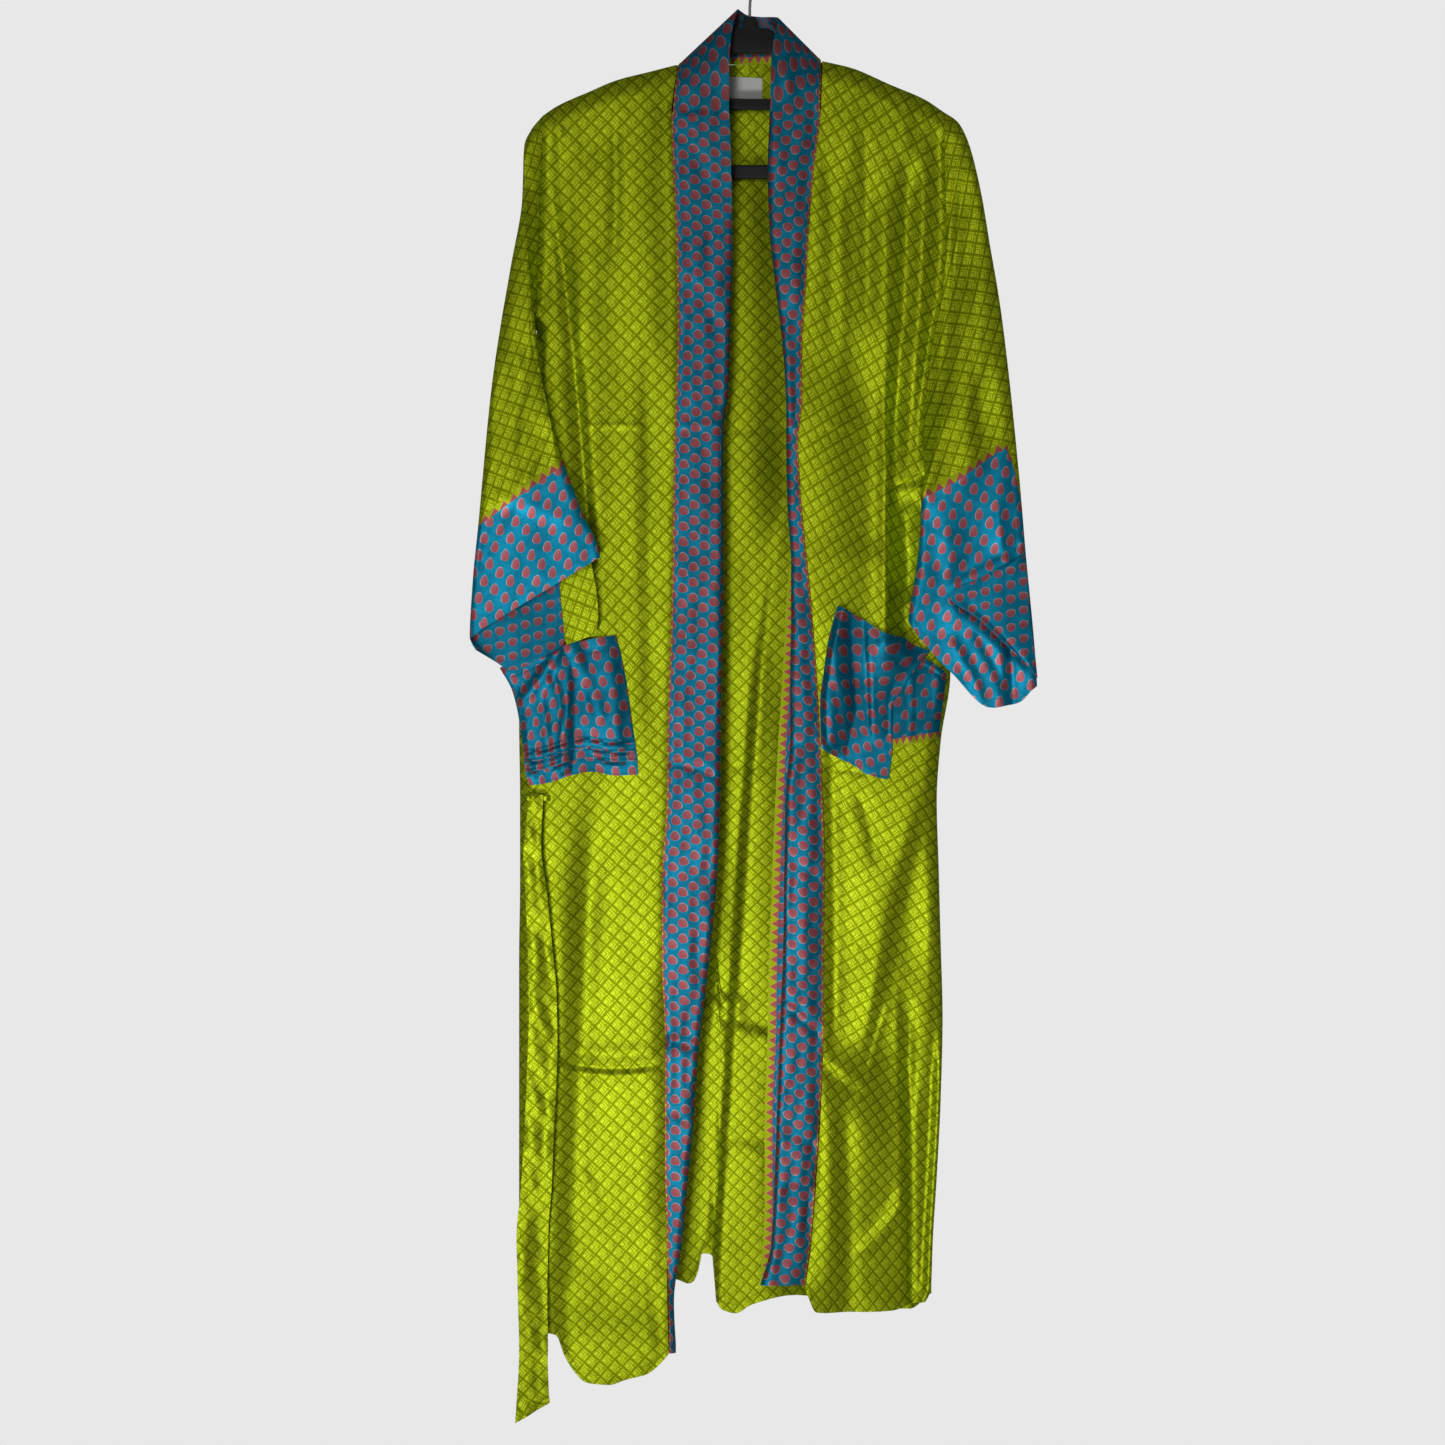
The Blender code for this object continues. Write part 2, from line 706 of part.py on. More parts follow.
def arm_points(arm, sign, t, s, layer):
    """Points of a sleeve and its cuff: t runs down the arm, s from the outer fold to the inner one."""
    out = [arm.at("out_" + c, t) for c in "xyz"]
    inn = [arm.at("in_" + c, t) for c in "xyz"]
    x = out[0] + (inn[0] - out[0]) * s
    z = out[2] + (inn[2] - out[2]) * s
    edges = FRONT_L if sign < 0 else FRONT_R
    straight = arm.at("out_x", 0) + (arm.at("in_x", 0) - arm.at("out_x", 0)) * s
    line = arm.at("out_z", 0) + (arm.at("in_z", 0) - arm.at("out_z", 0)) * s
    x = x + (edges.at("side", line) - straight) * clip01(1 - t / 0.35) ** 2
    x = x + sign * SEAM / 2 * clip01(1 - t / 0.05)
    length = np.hypot(out[0] - inn[0], out[2] - inn[2])
    settle = clip01(t / 0.8)
    top = ROUND_TOP + (7 * MM - ROUND_TOP) * settle
    low = ROUND_SIDE + (7 * MM - ROUND_SIDE) * settle
    rounding = quarter(s * length, top) * quarter((1 - s) * length, low)
    middle = out[1] + (inn[1] - out[1]) * s
    depth = np.where(layer < 0, -arm.at("front", t), arm.at("back", t))
    ripple = folds(SLEEVE_FOLDS, x, z) * clip01(t / 0.2) * ease(s / 0.12) * ease((1 - s) / 0.12)
    return np.stack(np.broadcast_arrays(x, middle + depth * rounding - ripple, z), axis=-1)


def arm_loop(arm, front_heights, back_heights):
    """One trip round a sleeve: s out along the front layer and home along the back one.

    The steps are those of the armhole edges of the two panels, so that the seams lie edge to edge.
    """
    top, low = arm.at("out_z", 0), arm.at("in_z", 0)
    out = clip01((top - front_heights) / (top - low))
    home = clip01((top - back_heights) / (top - low))
    out[0], out[-1] = 0.0, 1.0
    around = np.concatenate((out, home[-2:0:-1]))
    layer = np.concatenate((np.full(len(out), -1), np.full(len(home) - 2, 1)))
    return around, layer


def seam_gap(arm, sign, t, s, layer):
    here = arm_points(arm, sign, t, s, layer)
    there = arm_points(arm, sign, t + 0.02, s, layer)
    return SEAM / 2 * 0.02 / np.maximum(np.linalg.norm(there - here, axis=-1), 0.4 * MM)


def add_arm(side, arm, sign, sleeve_rows, cuff_rows, heights):
    s, layer = arm_loop(arm, *heights)
    front = layer < 0
    seam = np.where(front, CUFF_ENDS.at("seam_" + side, s), CUFF_ENDS.at("seam_back", s))
    hem = np.where(front, CUFF_ENDS.at("hem_" + side, s), CUFF_ENDS.at("hem_back_" + side, s))
    gap = seam_gap(arm, sign, seam, s, layer)
    down = np.linspace(0, 1, sleeve_rows)[:, None]
    down = 0.35 * down + 0.65 * (1 - np.cos(down * math.pi / 2))
    sleeve = arm_points(arm, sign, (seam - gap) * down, s[None, :], layer[None, :])
    down = np.linspace(0, 1, cuff_rows)[:, None]
    start = seam + gap
    cuff = arm_points(arm, sign, start + (hem - start) * down, s[None, :], layer[None, :])
    joined = np.concatenate((sleeve[:-1], (sleeve[-1:] + cuff[:1]) / 2, cuff[1:]))
    armhole = np.zeros(joined.shape[:2], dtype=bool)
    armhole[0] = True
    n = turned_normals(joined, None, closed=True, level=armhole) * CLOTH
    add_wall("sleeve_" + side, sleeve, sleeve + n[:sleeve_rows], GREEN, closed=True)
    add_wall("cuff_" + side, cuff, cuff + n[sleeve_rows - 1:], BLUE, closed=True)


def patch(sides, ends, columns, rows):
    """x and z of a flat patch from its left and right edges and its top and bottom edges."""
    across = np.linspace(0, 1, columns)[None, :]
    down = np.linspace(0, 1, rows)[:, None]
    left = sides.at("left", down)
    x = left + (sides.at("right", down) - left) * across
    top = ends.at("top", across)
    z = top + (ends.at("bottom", across) - top) * down
    return across, down, x, z


def panel_y(x, z):
    """The front panels' outer face, carried on level past the side seam."""
    keep = ROUND_SIDE + 1 * MM
    low = FRONT_L.at("side", z) + keep
    return front_y(np.maximum(x, low), z)


def add_pocket(name, sides, ends, height, stand, paint, surface):
    across, down, x, z = patch(sides, ends, 10, 9)
    base = np.stack((x, surface(x, z), z), axis=2)
    belly = np.sin(math.pi * clip01(across)) ** 0.7 * ease((1 - down) / 0.45)
    lower = moved(base, height + stand * belly, (0, -1, 0))
    upper = moved(lower, np.full(x.shape, CLOTH), (0, -1, 0))
    add_wall(name, upper, lower, paint)


def sweep(name, path, radius, sides, paint):
    """A round wire along a path, closed at both ends."""
    path = np.array(path)
    tangent = np.gradient(path, axis=0)
    tangent /= np.linalg.norm(tangent, axis=1, keepdims=True)
    flat = np.array((0.0, 1.0, 0.0))
    other = np.cross(tangent, flat)
    points = []
    for centre, normal in zip(path, other):
        for k in range(sides):
            angle = 2 * math.pi * k / sides
            points.append(centre + radius * (math.cos(angle) * flat + math.sin(angle) * normal))
    faces = []
    for ring in range(len(path) - 1):
        for k in range(sides):
            a, b = ring * sides + k, ring * sides + (k + 1) % sides
            faces.append((a, b, b + sides, a + sides))
    faces.append(tuple(range(sides)))
    faces.append(tuple(range((len(path) - 1) * sides, len(path) * sides)))
    return add_mesh(name, points, faces, paint)


def add_hanger(paint):
    """A flat frame with rounded edges: arms, hub, tie bar and trouser bar in one moulding."""
    curve = bpy.data.curves.new("hanger_outline", "CURVE")
    curve.dimensions = "2D"
    curve.fill_mode = "BOTH"
    curve.extrude = HANGER_HALF_THICK - 1.0 * MM
    curve.bevel_depth = 1.0 * MM
    curve.bevel_resolution = 0
    curve.offset = -1.0 * MM
    for half in (HANGER_OUTSIDE, HANGER_UPPER_GAP, HANGER_LOWER_GAP):
        right = [(x * MM, z * MM) for x, z in half]
        loop = right + [(-x, z) for x, z in reversed(right)]
        spline = curve.splines.new("POLY")
        spline.points.add(len(loop) - 1)
        for point, (x, z) in zip(spline.points, loop):
            point.co = (x, z, 0.0, 1.0)
        spline.use_cyclic_u = True
    drawn = bpy.data.objects.new("hanger_drawn", curve)
    bpy.context.scene.collection.objects.link(drawn)
    mesh = bpy.data.meshes.new_from_object(drawn)
    bpy.data.objects.remove(drawn)
    shape = bmesh.new()
    shape.from_mesh(mesh)
    bmesh.ops.remove_doubles(shape, verts=shape.verts, dist=0.00002)
    points = [(v.co.x, -v.co.z, v.co.y) for v in shape.verts]
    faces = [tuple(v.index for v in f.verts) for f in shape.faces]
    shape.free()
    return add_mesh("hanger", points, faces, paint, smooth=False)


def add_hook(paint):
    reach = HOOK_INNER_RADIUS + WIRE_RADIUS
    foot = HANGER_OUTSIDE[0][1] * MM + SEAM
    path = [(0, 0, foot), (0, 0, -0.055), (0.0004, 0, -0.0475), (0.0022, 0, -0.0405)]
    path.append((0.0052, 0, -0.0361))
    for degrees in range(-60, 206, 12):
        angle = math.radians(degrees)
        x = reach * math.cos(angle)
        path.append((x, 0, reach * math.sin(angle) - HOOK_INNER_RADIUS))
    return sweep("hook", path, WIRE_RADIUS, 8, paint)


def add_belt(paint, loop_paint):
    """One strip, doubled over its carrier: the front tail and the tail behind it."""
    top_z = BELT.data[-1, 0]
    low_z = BELT.data[0, 0]
    front_rows = 14
    rows = []
    for z in np.linspace(low_z, top_z, front_rows):
        rows.append((z, BELT_FRONT_Y, z))
    for degrees in (30, 60, 90, 120, 150):
        angle = math.radians(degrees)
        y = BELT_FRONT_Y + BELT_TURN * (1 - math.cos(angle))
        rows.append((top_z + BELT_TURN * math.sin(angle), y, top_z))
    for z in np.linspace(top_z, low_z + BELT_REAR_SHORTER, 9):
        rows.append((z, BELT_FRONT_Y + 2 * BELT_TURN, z))
    share = np.linspace(-0.5, 0.5, 4)
    grid = []
    for number, (z, y, key) in enumerate(rows):
        width = float(BELT.at("width", key))
        front = number < front_rows
        sway = float(BELT.at("sway", key)) * (1 if front else 0.3)
        slant = BELT_TIP_SLANT * ease((low_z + 30 * MM - z) / (30 * MM)) if front else 0
        x = BELT.at("x", key) + share * width
        tilt = 0.06 * width * np.sin(share * 5) * front
        grid.append(np.stack((x, y - sway * share * 2 + tilt, z + slant * (share + 0.5)), axis=1))
    outer = np.array(grid)
    n = normals(outer, False)
    if n[2, 1, 1] < 0:
        n = -n
    inner = outer + n * BELT_CLOTH
    add_wall("belt", outer, inner, paint)
    middle = float(BELT.at("x", top_z))
    half = 10 * MM
    rest = top_z - 1.6 * MM
    stand = BELT_FRONT_Y + BELT_TURN
    path = []
    for x, out in ((-half - 4 * MM, 0.0), (-half - 2 * MM, 0.35), (-half, 1.0), (0, 1.0)):
        path.append((x, out))
    path = path + [(-x, out) for x, out in reversed(path[:-1])]
    grid = []
    for x, out in path:
        seat = float(front_y(np.array(middle + x), np.array(rest))) - 1.0 * MM - CLOTH
        y = seat + (stand - seat) * out
        grid.append([(middle + x, y, rest - 3 * MM), (middle + x, y, rest), (middle + x, y, rest + 2 * MM)])
    outer = np.array(grid)
    inner = moved(outer, np.full(outer.shape[:2], CLOTH), (0, 1, 0))
    add_wall("belt_loop", outer, inner, loop_paint)


for old in list(bpy.data.objects):
    bpy.data.objects.remove(old)

ROOT = bpy.data.objects.new("robe", None)
bpy.context.scene.collection.objects.link(ROOT)
GREEN = material("silk_green", (0.36, 0.46, 0.02), 0.42)
BLUE = material("silk_blue", (0.02, 0.19, 0.29), 0.45)
BLACK = material("hanger_black", (0.012, 0.012, 0.013), 0.7)
STEEL = material("hook_steel", (0.72, 0.72, 0.72), 0.25, 1.0)
WHITE = material("label_white", (0.8, 0.8, 0.77), 0.8)

add_hanger(BLACK)
add_hook(STEEL)
left_heights, left_hole = add_front("front_l", FRONT_L, HEM_L, -1, 14, 15, GREEN)
right_heights, right_hole = add_front("front_r", FRONT_R, HEM_R, 1, 15, 13, GREEN)
left_back_hole, right_back_hole = add_back("back", 23, 12, GREEN)

band = band_grid(10, left_heights, 13, right_heights)
seamed = np.zeros(band.shape[:2], dtype=bool)
seamed[:, 0] = band[:, 0, 2] < -0.17
band_inner = moved(band, np.full(band.shape[:2], BAND_CLOTH), (0, 1, 0), level=seamed)
add_wall("collar_band", band, band_inner, BLUE)

z = np.linspace(FACING_R.data[-1, 0], FACING_R.data[0, 0], 14)[:, None]
share = np.linspace(0, 1, 3)[None, :]
free = FACING_R.at("free", z)
x = free + (BAND_R.at("seam", z) - 3 * MM - free) * share
facing_y = -FRONT - BAND_STAND + 2 * BAND_ROLL + FACING_GAP
facing = np.stack(np.broadcast_arrays(x, np.full(x.shape, facing_y), z), axis=2)
facing_inner = moved(facing, np.full(x.shape, CLOTH), (0, 1, 0))
add_wall("band_facing_r", facing, facing_inner, BLUE)

add_arm("l", ARM_L, -1, 11, 6, (left_hole, left_back_hole))
add_arm("r", ARM_R, 1, 10, 6, (right_hole, right_back_hole))

lift = np.full((9, 10), SEAM)
add_pocket("pocket_l", POCKET_L, POCKET_L_ENDS, lift, POCKET_STAND, BLUE, panel_y)
lift = np.full((9, 10), 1.0 * MM)
add_pocket("pocket_fold_r", POCKET_FOLD_R, POCKET_FOLD_R_ENDS, lift, 0.0, BLUE, front_y)
lift = np.full((9, 10), 1.0 * MM + SEAM + CLOTH)
add_pocket("pocket_r", POCKET_R, POCKET_R_ENDS, lift, POCKET_STAND, BLUE, front_y)

across, down, x, z = patch(SLEEVE_FOLD_L, SLEEVE_FOLD_L_ENDS, 5, 6)
y = SLEEVE_FOLD_Y + 0.8 * MM * np.sin(across * 5) * ease((down - 0.2) / 0.6)
fold = np.stack(np.broadcast_arrays(x, y, z), axis=2)
fold_inner = moved(fold, np.full(x.shape, CLOTH), (0, 1, 0))
add_wall("sleeve_fold_l", fold, fold_inner, GREEN)

down = np.linspace(0, 1, 9)[:, None]
across = np.linspace(0, 1, 6)[None, :]
left = CUFF_FOLD_R.at("left", down)
x = left + (CUFF_FOLD_R.at("right", down) - left) * across
z = CUFF_FOLD_R.at("z_left", down)
z = z + (CUFF_FOLD_R.at("z_right", down) - z) * across
y = CUFF_FOLD_Y - CUFF_FOLD_BULGE * np.sin(math.pi * across)
fold = np.stack(np.broadcast_arrays(x, y, z), axis=2)
fold_inner = moved(fold, np.full(x.shape, CLOTH), (0, 1, 0))
add_wall("cuff_fold_r", fold, fold_inner, BLUE)

add_belt(GREEN, GREEN)

across = np.linspace(0, 1, 5)[None, :]
down = np.linspace(0, 1, 3)[:, None]
x = (LABEL_LEFT + (LABEL_RIGHT - LABEL_LEFT) * across) * MM + 0 * down
z = (LABEL_TOP - LABEL_HEIGHT * down - 3.0 * across) * MM
y = back_y(x, z) - CLOTH - SEAM
label_back = np.stack((x, y, z), axis=2)
label_front = moved(label_back, np.full(x.shape, 0.8 * MM), (0, -1, 0))
add_wall("neck_label", label_front, label_back, WHITE)
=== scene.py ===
"""The looks of a long printed silk robe on its hanger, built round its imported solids.

Sizes are in metres in the frame of the solids: X to the viewer's right, Z up, front toward -Y.
Every cloth piece is a thin closed shell whose outer face follows the solid that it stands for.
"""

import math

import bmesh
import bpy
import numpy as np
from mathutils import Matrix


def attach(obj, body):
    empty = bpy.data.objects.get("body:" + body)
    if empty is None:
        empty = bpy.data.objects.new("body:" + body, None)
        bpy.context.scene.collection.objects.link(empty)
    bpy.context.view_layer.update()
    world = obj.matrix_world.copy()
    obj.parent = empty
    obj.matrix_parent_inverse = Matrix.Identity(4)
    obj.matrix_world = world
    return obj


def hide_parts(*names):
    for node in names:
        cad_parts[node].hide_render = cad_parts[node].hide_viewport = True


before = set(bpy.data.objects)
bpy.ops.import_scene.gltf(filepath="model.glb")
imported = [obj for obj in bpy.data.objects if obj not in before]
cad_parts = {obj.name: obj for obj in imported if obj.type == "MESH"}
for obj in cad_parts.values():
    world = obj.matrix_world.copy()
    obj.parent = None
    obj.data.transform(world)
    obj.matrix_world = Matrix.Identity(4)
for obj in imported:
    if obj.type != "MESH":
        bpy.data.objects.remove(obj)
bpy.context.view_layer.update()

MM = 0.001

CLOTH = 1.2 * MM  # wall of a single layer in the solids
SEAM = 0.3 * MM  # space left between two pieces at a seam
FRONT = 20.0 * MM  # front panels stand this far before the side seams
BACK = 16.0 * MM  # back panel stands this far behind them
ROUND_TOP = 24.0 * MM  # rounding of the cloth over the hanger
ROUND_SIDE = 16.0 * MM  # rounding of the cloth at the side seams
UNDERARM_L = -385.0 * MM
UNDERARM_R = -544.0 * MM
BAND_WIDTH = 58.0 * MM
BAND_ROLL = 6.0 * MM  # radius at which the band turns under
NECK_HALF = 75.0 * MM
POCKET_STAND = 7.5 * MM  # how far a pocket bellies out
POCKET_FOLD_LIFT = 1.0 * MM
HANGER_HALF_THICK = 4.0 * MM
HANGER_EDGE = 1.6 * MM  # rounding of its edges
WIRE_RADIUS = 1.5 * MM
HOOK_INNER_RADIUS = 17.0 * MM
BELT_FRONT_Y = -35.0 * MM  # where the front tail of the belt hangs
BELT_TURN = 3.4 * MM  # radius at which the belt turns over its carrier
BELT_REAR_SHORTER = 85.0 * MM
SLEEVE_FOLD_Y = -35.2 * MM
CUFF_FOLD_Y = -50.4 * MM
CUFF_FOLD_BULGE = 1.6 * MM
BAND_STAND = 2.5 * MM  # how far the front bands stand before the panels
FACING_GAP = 0.4 * MM

PLAIN_COLUMNS = ("t", "across", "down", "share")


class Table:
    """Sizes in millimetres under named columns, read as smooth curves along the first column."""

    def __init__(self, columns, rows, unit=MM):
        self.columns = columns.split()
        data = np.array(sorted(rows), dtype=float)
        for index, column in enumerate(self.columns):
            if column not in PLAIN_COLUMNS:
                data[:, index] *= unit
        self.data = data

    def at(self, column, key):
        xs = self.data[:, 0]
        ys = self.data[:, self.columns.index(column)]
        steps = np.diff(xs)
        rises = np.diff(ys) / steps
        slopes = np.zeros(len(xs))
        slopes[0] = rises[0]
        slopes[-1] = rises[-1]
        for k in range(1, len(xs) - 1):
            if rises[k - 1] * rises[k] > 0:
                w1 = 2 * steps[k] + steps[k - 1]
                w2 = steps[k] + 2 * steps[k - 1]
                slopes[k] = (w1 + w2) / (w1 / rises[k - 1] + w2 / rises[k])
        key = np.clip(np.asarray(key, dtype=float), xs[0], xs[-1])
        k = np.clip(np.searchsorted(xs, key) - 1, 0, len(steps) - 1)
        h = steps[k]
        s = (key - xs[k]) / h
        value = (1 + 2 * s) * (1 - s) ** 2 * ys[k] + s * (1 - s) ** 2 * h * slopes[k]
        return value + s * s * (3 - 2 * s) * ys[k + 1] - s * s * (1 - s) * h * slopes[k + 1]


# Shoulder seams.
SHOULDER_L = Table("x z", (
    (-212, -165),
    (-197, -155),
    (-163, -140),
    (-137, -129),
    (-102, -120),
    (-75, -113),
))
SHOULDER_R = Table("x z", (
    (73, -109),
    (103, -116),
    (145, -134),
    (180, -149),
    (198, -161),
))
# Edges of the two front panels by height: the side or armhole, and the seam to the band.
FRONT_L = Table("z side edge", (
    (-1464, -235, -82),
    (-1379, -236, -84),
    (-1316, -237, -85),
    (-1225, -237, -87),
    (-1112, -237, -87),
    (-1030, -237, -90),
    (-953, -236, -90),
    (-867, -236, -85),
    (-785, -237, -84),
    (-704, -236, -81),
    (-622, -234, -79),
    (-530, -229, -78),
    (-459, -225, -76),
    (-388, -219, -74),
    (-306, -216, -75),
    (-235, -214, -78),
    (-169, -212, -80),
    (-116, -212, -74),
))
FRONT_R = Table("z side edge", (
    (-1393, 174, 55),
    (-1368, 186, 56),
    (-1318, 188, 62),
    (-1254, 192, 67),
    (-1175, 196, 72),
    (-1091, 198, 75),
    (-1012, 196, 75),
    (-938, 194, 76),
    (-867, 192, 74),
    (-808, 196, 72),
    (-737, 206, 68),
    (-663, 194, 62),
    (-602, 186, 56),
    (-546, 179, 51),
    (-502, 177, 49),
    (-459, 179, 53),
    (-402, 186, 53),
    (-344, 197, 57),
    (-286, 200, 60),
    (-226, 199, 65),
    (-165, 198, 72),
    (-113, 198, 74),
))
# Hem heights.
HEM_L = Table("across z", (
    (0, -1399),
    (0.13, -1409),
    (0.25, -1414),
    (0.3, -1435),
    (0.37, -1452),
    (0.45, -1462),
    (0.6, -1464),
    (0.7, -1459),
    (0.85, -1452),
    (0.94, -1441),
    (1, -1431),
))
HEM_R = Table("across z", (
    (0, -1381),
    (0.12, -1383),
    (0.25, -1388),
    (0.5, -1389),
    (0.82, -1389),
    (0.9, -1388),
    (1, -1365),
))
HEM_BACK = Table("x z", (
    (-237, -1403),
    (-198, -1415),
    (-134, -1407),
    (-76, -1362),
    (-62, -1367),
    (-54, -1361),
    (-49, -1336),
    (-38, -1337),
    (-33, -1387),
    (-24, -1394),
    (-14, -1396),
    (2, -1387),
    (42, -1378),
    (114, -1390),
    (165, -1393),
    (186, -1374),
))
# The long roll of the back panel.
ROLL = Table("z x height", (
    (-1404, -37, 11),
    (-1332, -34, 11),
    (-1136, -22, 10),
    (-1014, -13, 9),
    (-919, -7, 8),
    (-738, 8, 6),
    (-620, 23, 3),
    (-538, 42, 0),
))
# The front bands by height: the seam, and how far across they show before turning under.
BAND_L = Table("z seam fold", (
    (-1423, -82, -75.5),
    (-1380, -84, -77.5),
    (-1316, -85, -69),
    (-1255, -86, -63),
    (-1193, -87, -57),
    (-1132, -87, -53),
    (-1071, -89, -46),
    (-1010, -90, -39),
    (-953, -90, -34),
    (-857, -85, -30),
    (-755, -83, -29),
    (-657, -80, -27),
    (-561, -78, -27),
    (-490, -77, -27),
    (-450, -76, -22),
    (-388, -74, -20),
    (-306, -75, -18),
    (-235, -78, -19),
    (-165, -80, -21),
))
BAND_R = Table("z seam fold", (
    (-1373, 56, 7),
    (-1318, 62, 22),
    (-1254, 67, 25),
    (-1175, 72, 28),
    (-1091, 75, 31),
    (-1012, 75, 34),
    (-938, 76, 35),
    (-865, 74, 36),
    (-804, 71, 41),
    (-738, 69, 41),
    (-683, 64, 42),
    (-629, 59, 42),
    (-564, 52, 38),
    (-510, 50, 37),
    (-479, 51, 37),
    (-445, 53, 36),
    (-402, 53, 33),
    (-344, 57, 26),
    (-286, 60, 20),
    (-224, 66, 18),
    (-165, 72, 20),
))
# The band round the neck, by station from the -X front to the +X front.
BAND_NECK = Table("share seam_x seam_y seam_z free_x free_y free_z", (
    (0, -78.7, -20, -165.2, -21.4, -23, -165.9),
    (1, -76.8, -19.2, -142.6, -21.4, -23, -125.1),
    (2, -74.6, -15, -125.4, -19.4, -19, -89.5),
    (3, -73.1, -1, -112.5, -12.2, -4, -56.3),
    (4, -67.7, 9, -109.8, -8, 6, -57),
    (5, -51.3, 15.5, -108.8, -2.8, 12, -58.6),
    (6, 0.3, 17, -109, 7.6, 15, -59.9),
    (7, 51.9, 15.5, -107.3, 16.8, 12, -60.7),
    (8, 67.2, 9, -106.2, 23.9, 6, -62.1),
    (9, 72.9, -1, -107.9, 29.9, -4, -66),
    (10, 72.9, -15, -125.4, 24.5, -19, -89.5),
    (11, 72, -19.2, -142.6, 21.4, -23, -125.1),
    (12, 71.3, -20, -165.2, 20.4, -23, -165.9),
))
# Free edge of the inner half of the +X band.
FACING_R = Table("z free hidden", (
    (-1363, 10, 26),
    (-1277, 15, 37),
    (-1195, 15, 39),
    (-1113, 18, 43),
    (-1021, 20, 46),
    (-939, 23, 47),
    (-867, 26, 49),
    (-806, 29, 53),
    (-744, 33, 53),
    (-683, 36, 55),
    (-634, 40, 55),
))
# Sleeves and cuffs: the outer fold and the inner fold down the arm, and how far each layer stands off.
ARM_L = Table("t out_x out_z out_y in_x in_z in_y front back", (
    (0, -212, -165, 0, -219, -385, 0, 20, 16),
    (0.1, -224, -180, -2, -223, -395, -16, 19, 16),
    (0.2, -231, -197, -4, -222, -409, -30, 17, 14),
    (0.35, -233, -253, -9, -212, -446, -40, 14, 11),
    (0.5, -244, -321, -16, -204, -474, -42, 12, 9),
    (0.65, -254, -383, -24, -198, -496, -42, 9, 8),
    (0.8, -263, -450, -32, -194, -511, -42, 7, 7),
    (1, -275, -582, -40, -191, -520, -42, 6, 6),
    (1.35, -281, -644, -41, -170, -575, -42, 6, 6),
    (1.7, -284, -701, -42, -152, -621, -42, 6, 6),
    (1.95, -263, -733, -42, -150, -691, -42, 6, 6),
    (2.1, -252, -752, -42, -158, -720, -42, 6, 6),
))
ARM_R = Table("t out_x out_z out_y in_x in_z in_y front back", (
    (0, 198, -161, 0, 179, -544, 0, 20, 16),
    (0.1, 213, -172, -2, 180, -546, -9, 19, 16),
    (0.2, 223, -191, -4, 180, -549, -18, 17, 15),
    (0.35, 236, -243, -9, 179, -551, -28, 15, 13),
    (0.5, 245, -300, -16, 175, -554, -36, 12, 11),
    (0.65, 255, -365, -24, 174, -556, -40, 10, 9),
    (0.8, 264, -445, -32, 173, -559, -42, 8, 7),
    (1, 274, -554, -40, 174, -565, -42, 6, 6),
    (1.3, 279, -615, -41, 170, -619, -42, 6, 6),
    (1.7, 289, -725, -42, 160, -685, -42, 6, 6),
    (2, 293, -801, -42, 157, -740, -42, 6, 6),
))
# Where the cuff seams and hems run, in the same measure down the arm, across each layer.
CUFF_ENDS = Table("across seam_l seam_r seam_back hem_l hem_r hem_back_l hem_back_r", (
    (0, 1, 1.03, 1, 1.72, 1.8, 1.8, 1.8),
    (0.05, 1, 0.93, 1, 1.71, 1.83, 1.9, 1.82),
    (0.13, 1, 0.882, 1, 1.7, 1.89, 2.0, 1.86),
    (0.23, 1, 0.88, 1, 1.7, 1.93, 2.02, 1.9),
    (0.41, 1, 0.88, 1, 1.7, 1.98, 2.0, 1.93),
    (0.66, 1, 0.88, 1, 1.7, 1.89, 1.96, 1.87),
    (0.69, 1, 0.875, 1, 1.7, 1.88, 1.69, 1.87),
    (0.84, 1, 0.85, 1, 1.7, 1.81, 1.69, 1.8),
    (0.93, 1, 0.79, 1, 1.7, 1.76, 1.69, 1.75),
    (1, 1, 0.66, 1, 1.7, 1.7, 1.7, 1.7),
), unit=1.0)
# The hanging piece of the -X sleeve.
SLEEVE_FOLD_L = Table("down left right", (
    (0, -200, -165),
    (0.5, -197, -156),
    (0.8, -192, -154),
    (1, -186, -157),
))
SLEEVE_FOLD_L_ENDS = Table("across top bottom", (
    (0, -619, -709),
    (0.5, -615, -704),
    (1, -611, -698),
))
# The turned-over layer of the +X cuff.
CUFF_FOLD_R = Table("down left z_left right z_right", (
    (0, 268, -623, 277, -619),
    (0.12, 236, -640, 279, -636),
    (0.3, 201, -660, 281, -664),
    (0.55, 231, -684, 284, -697),
    (0.8, 262, -713, 288, -723),
    (1, 282, -732, 290, -743),
))
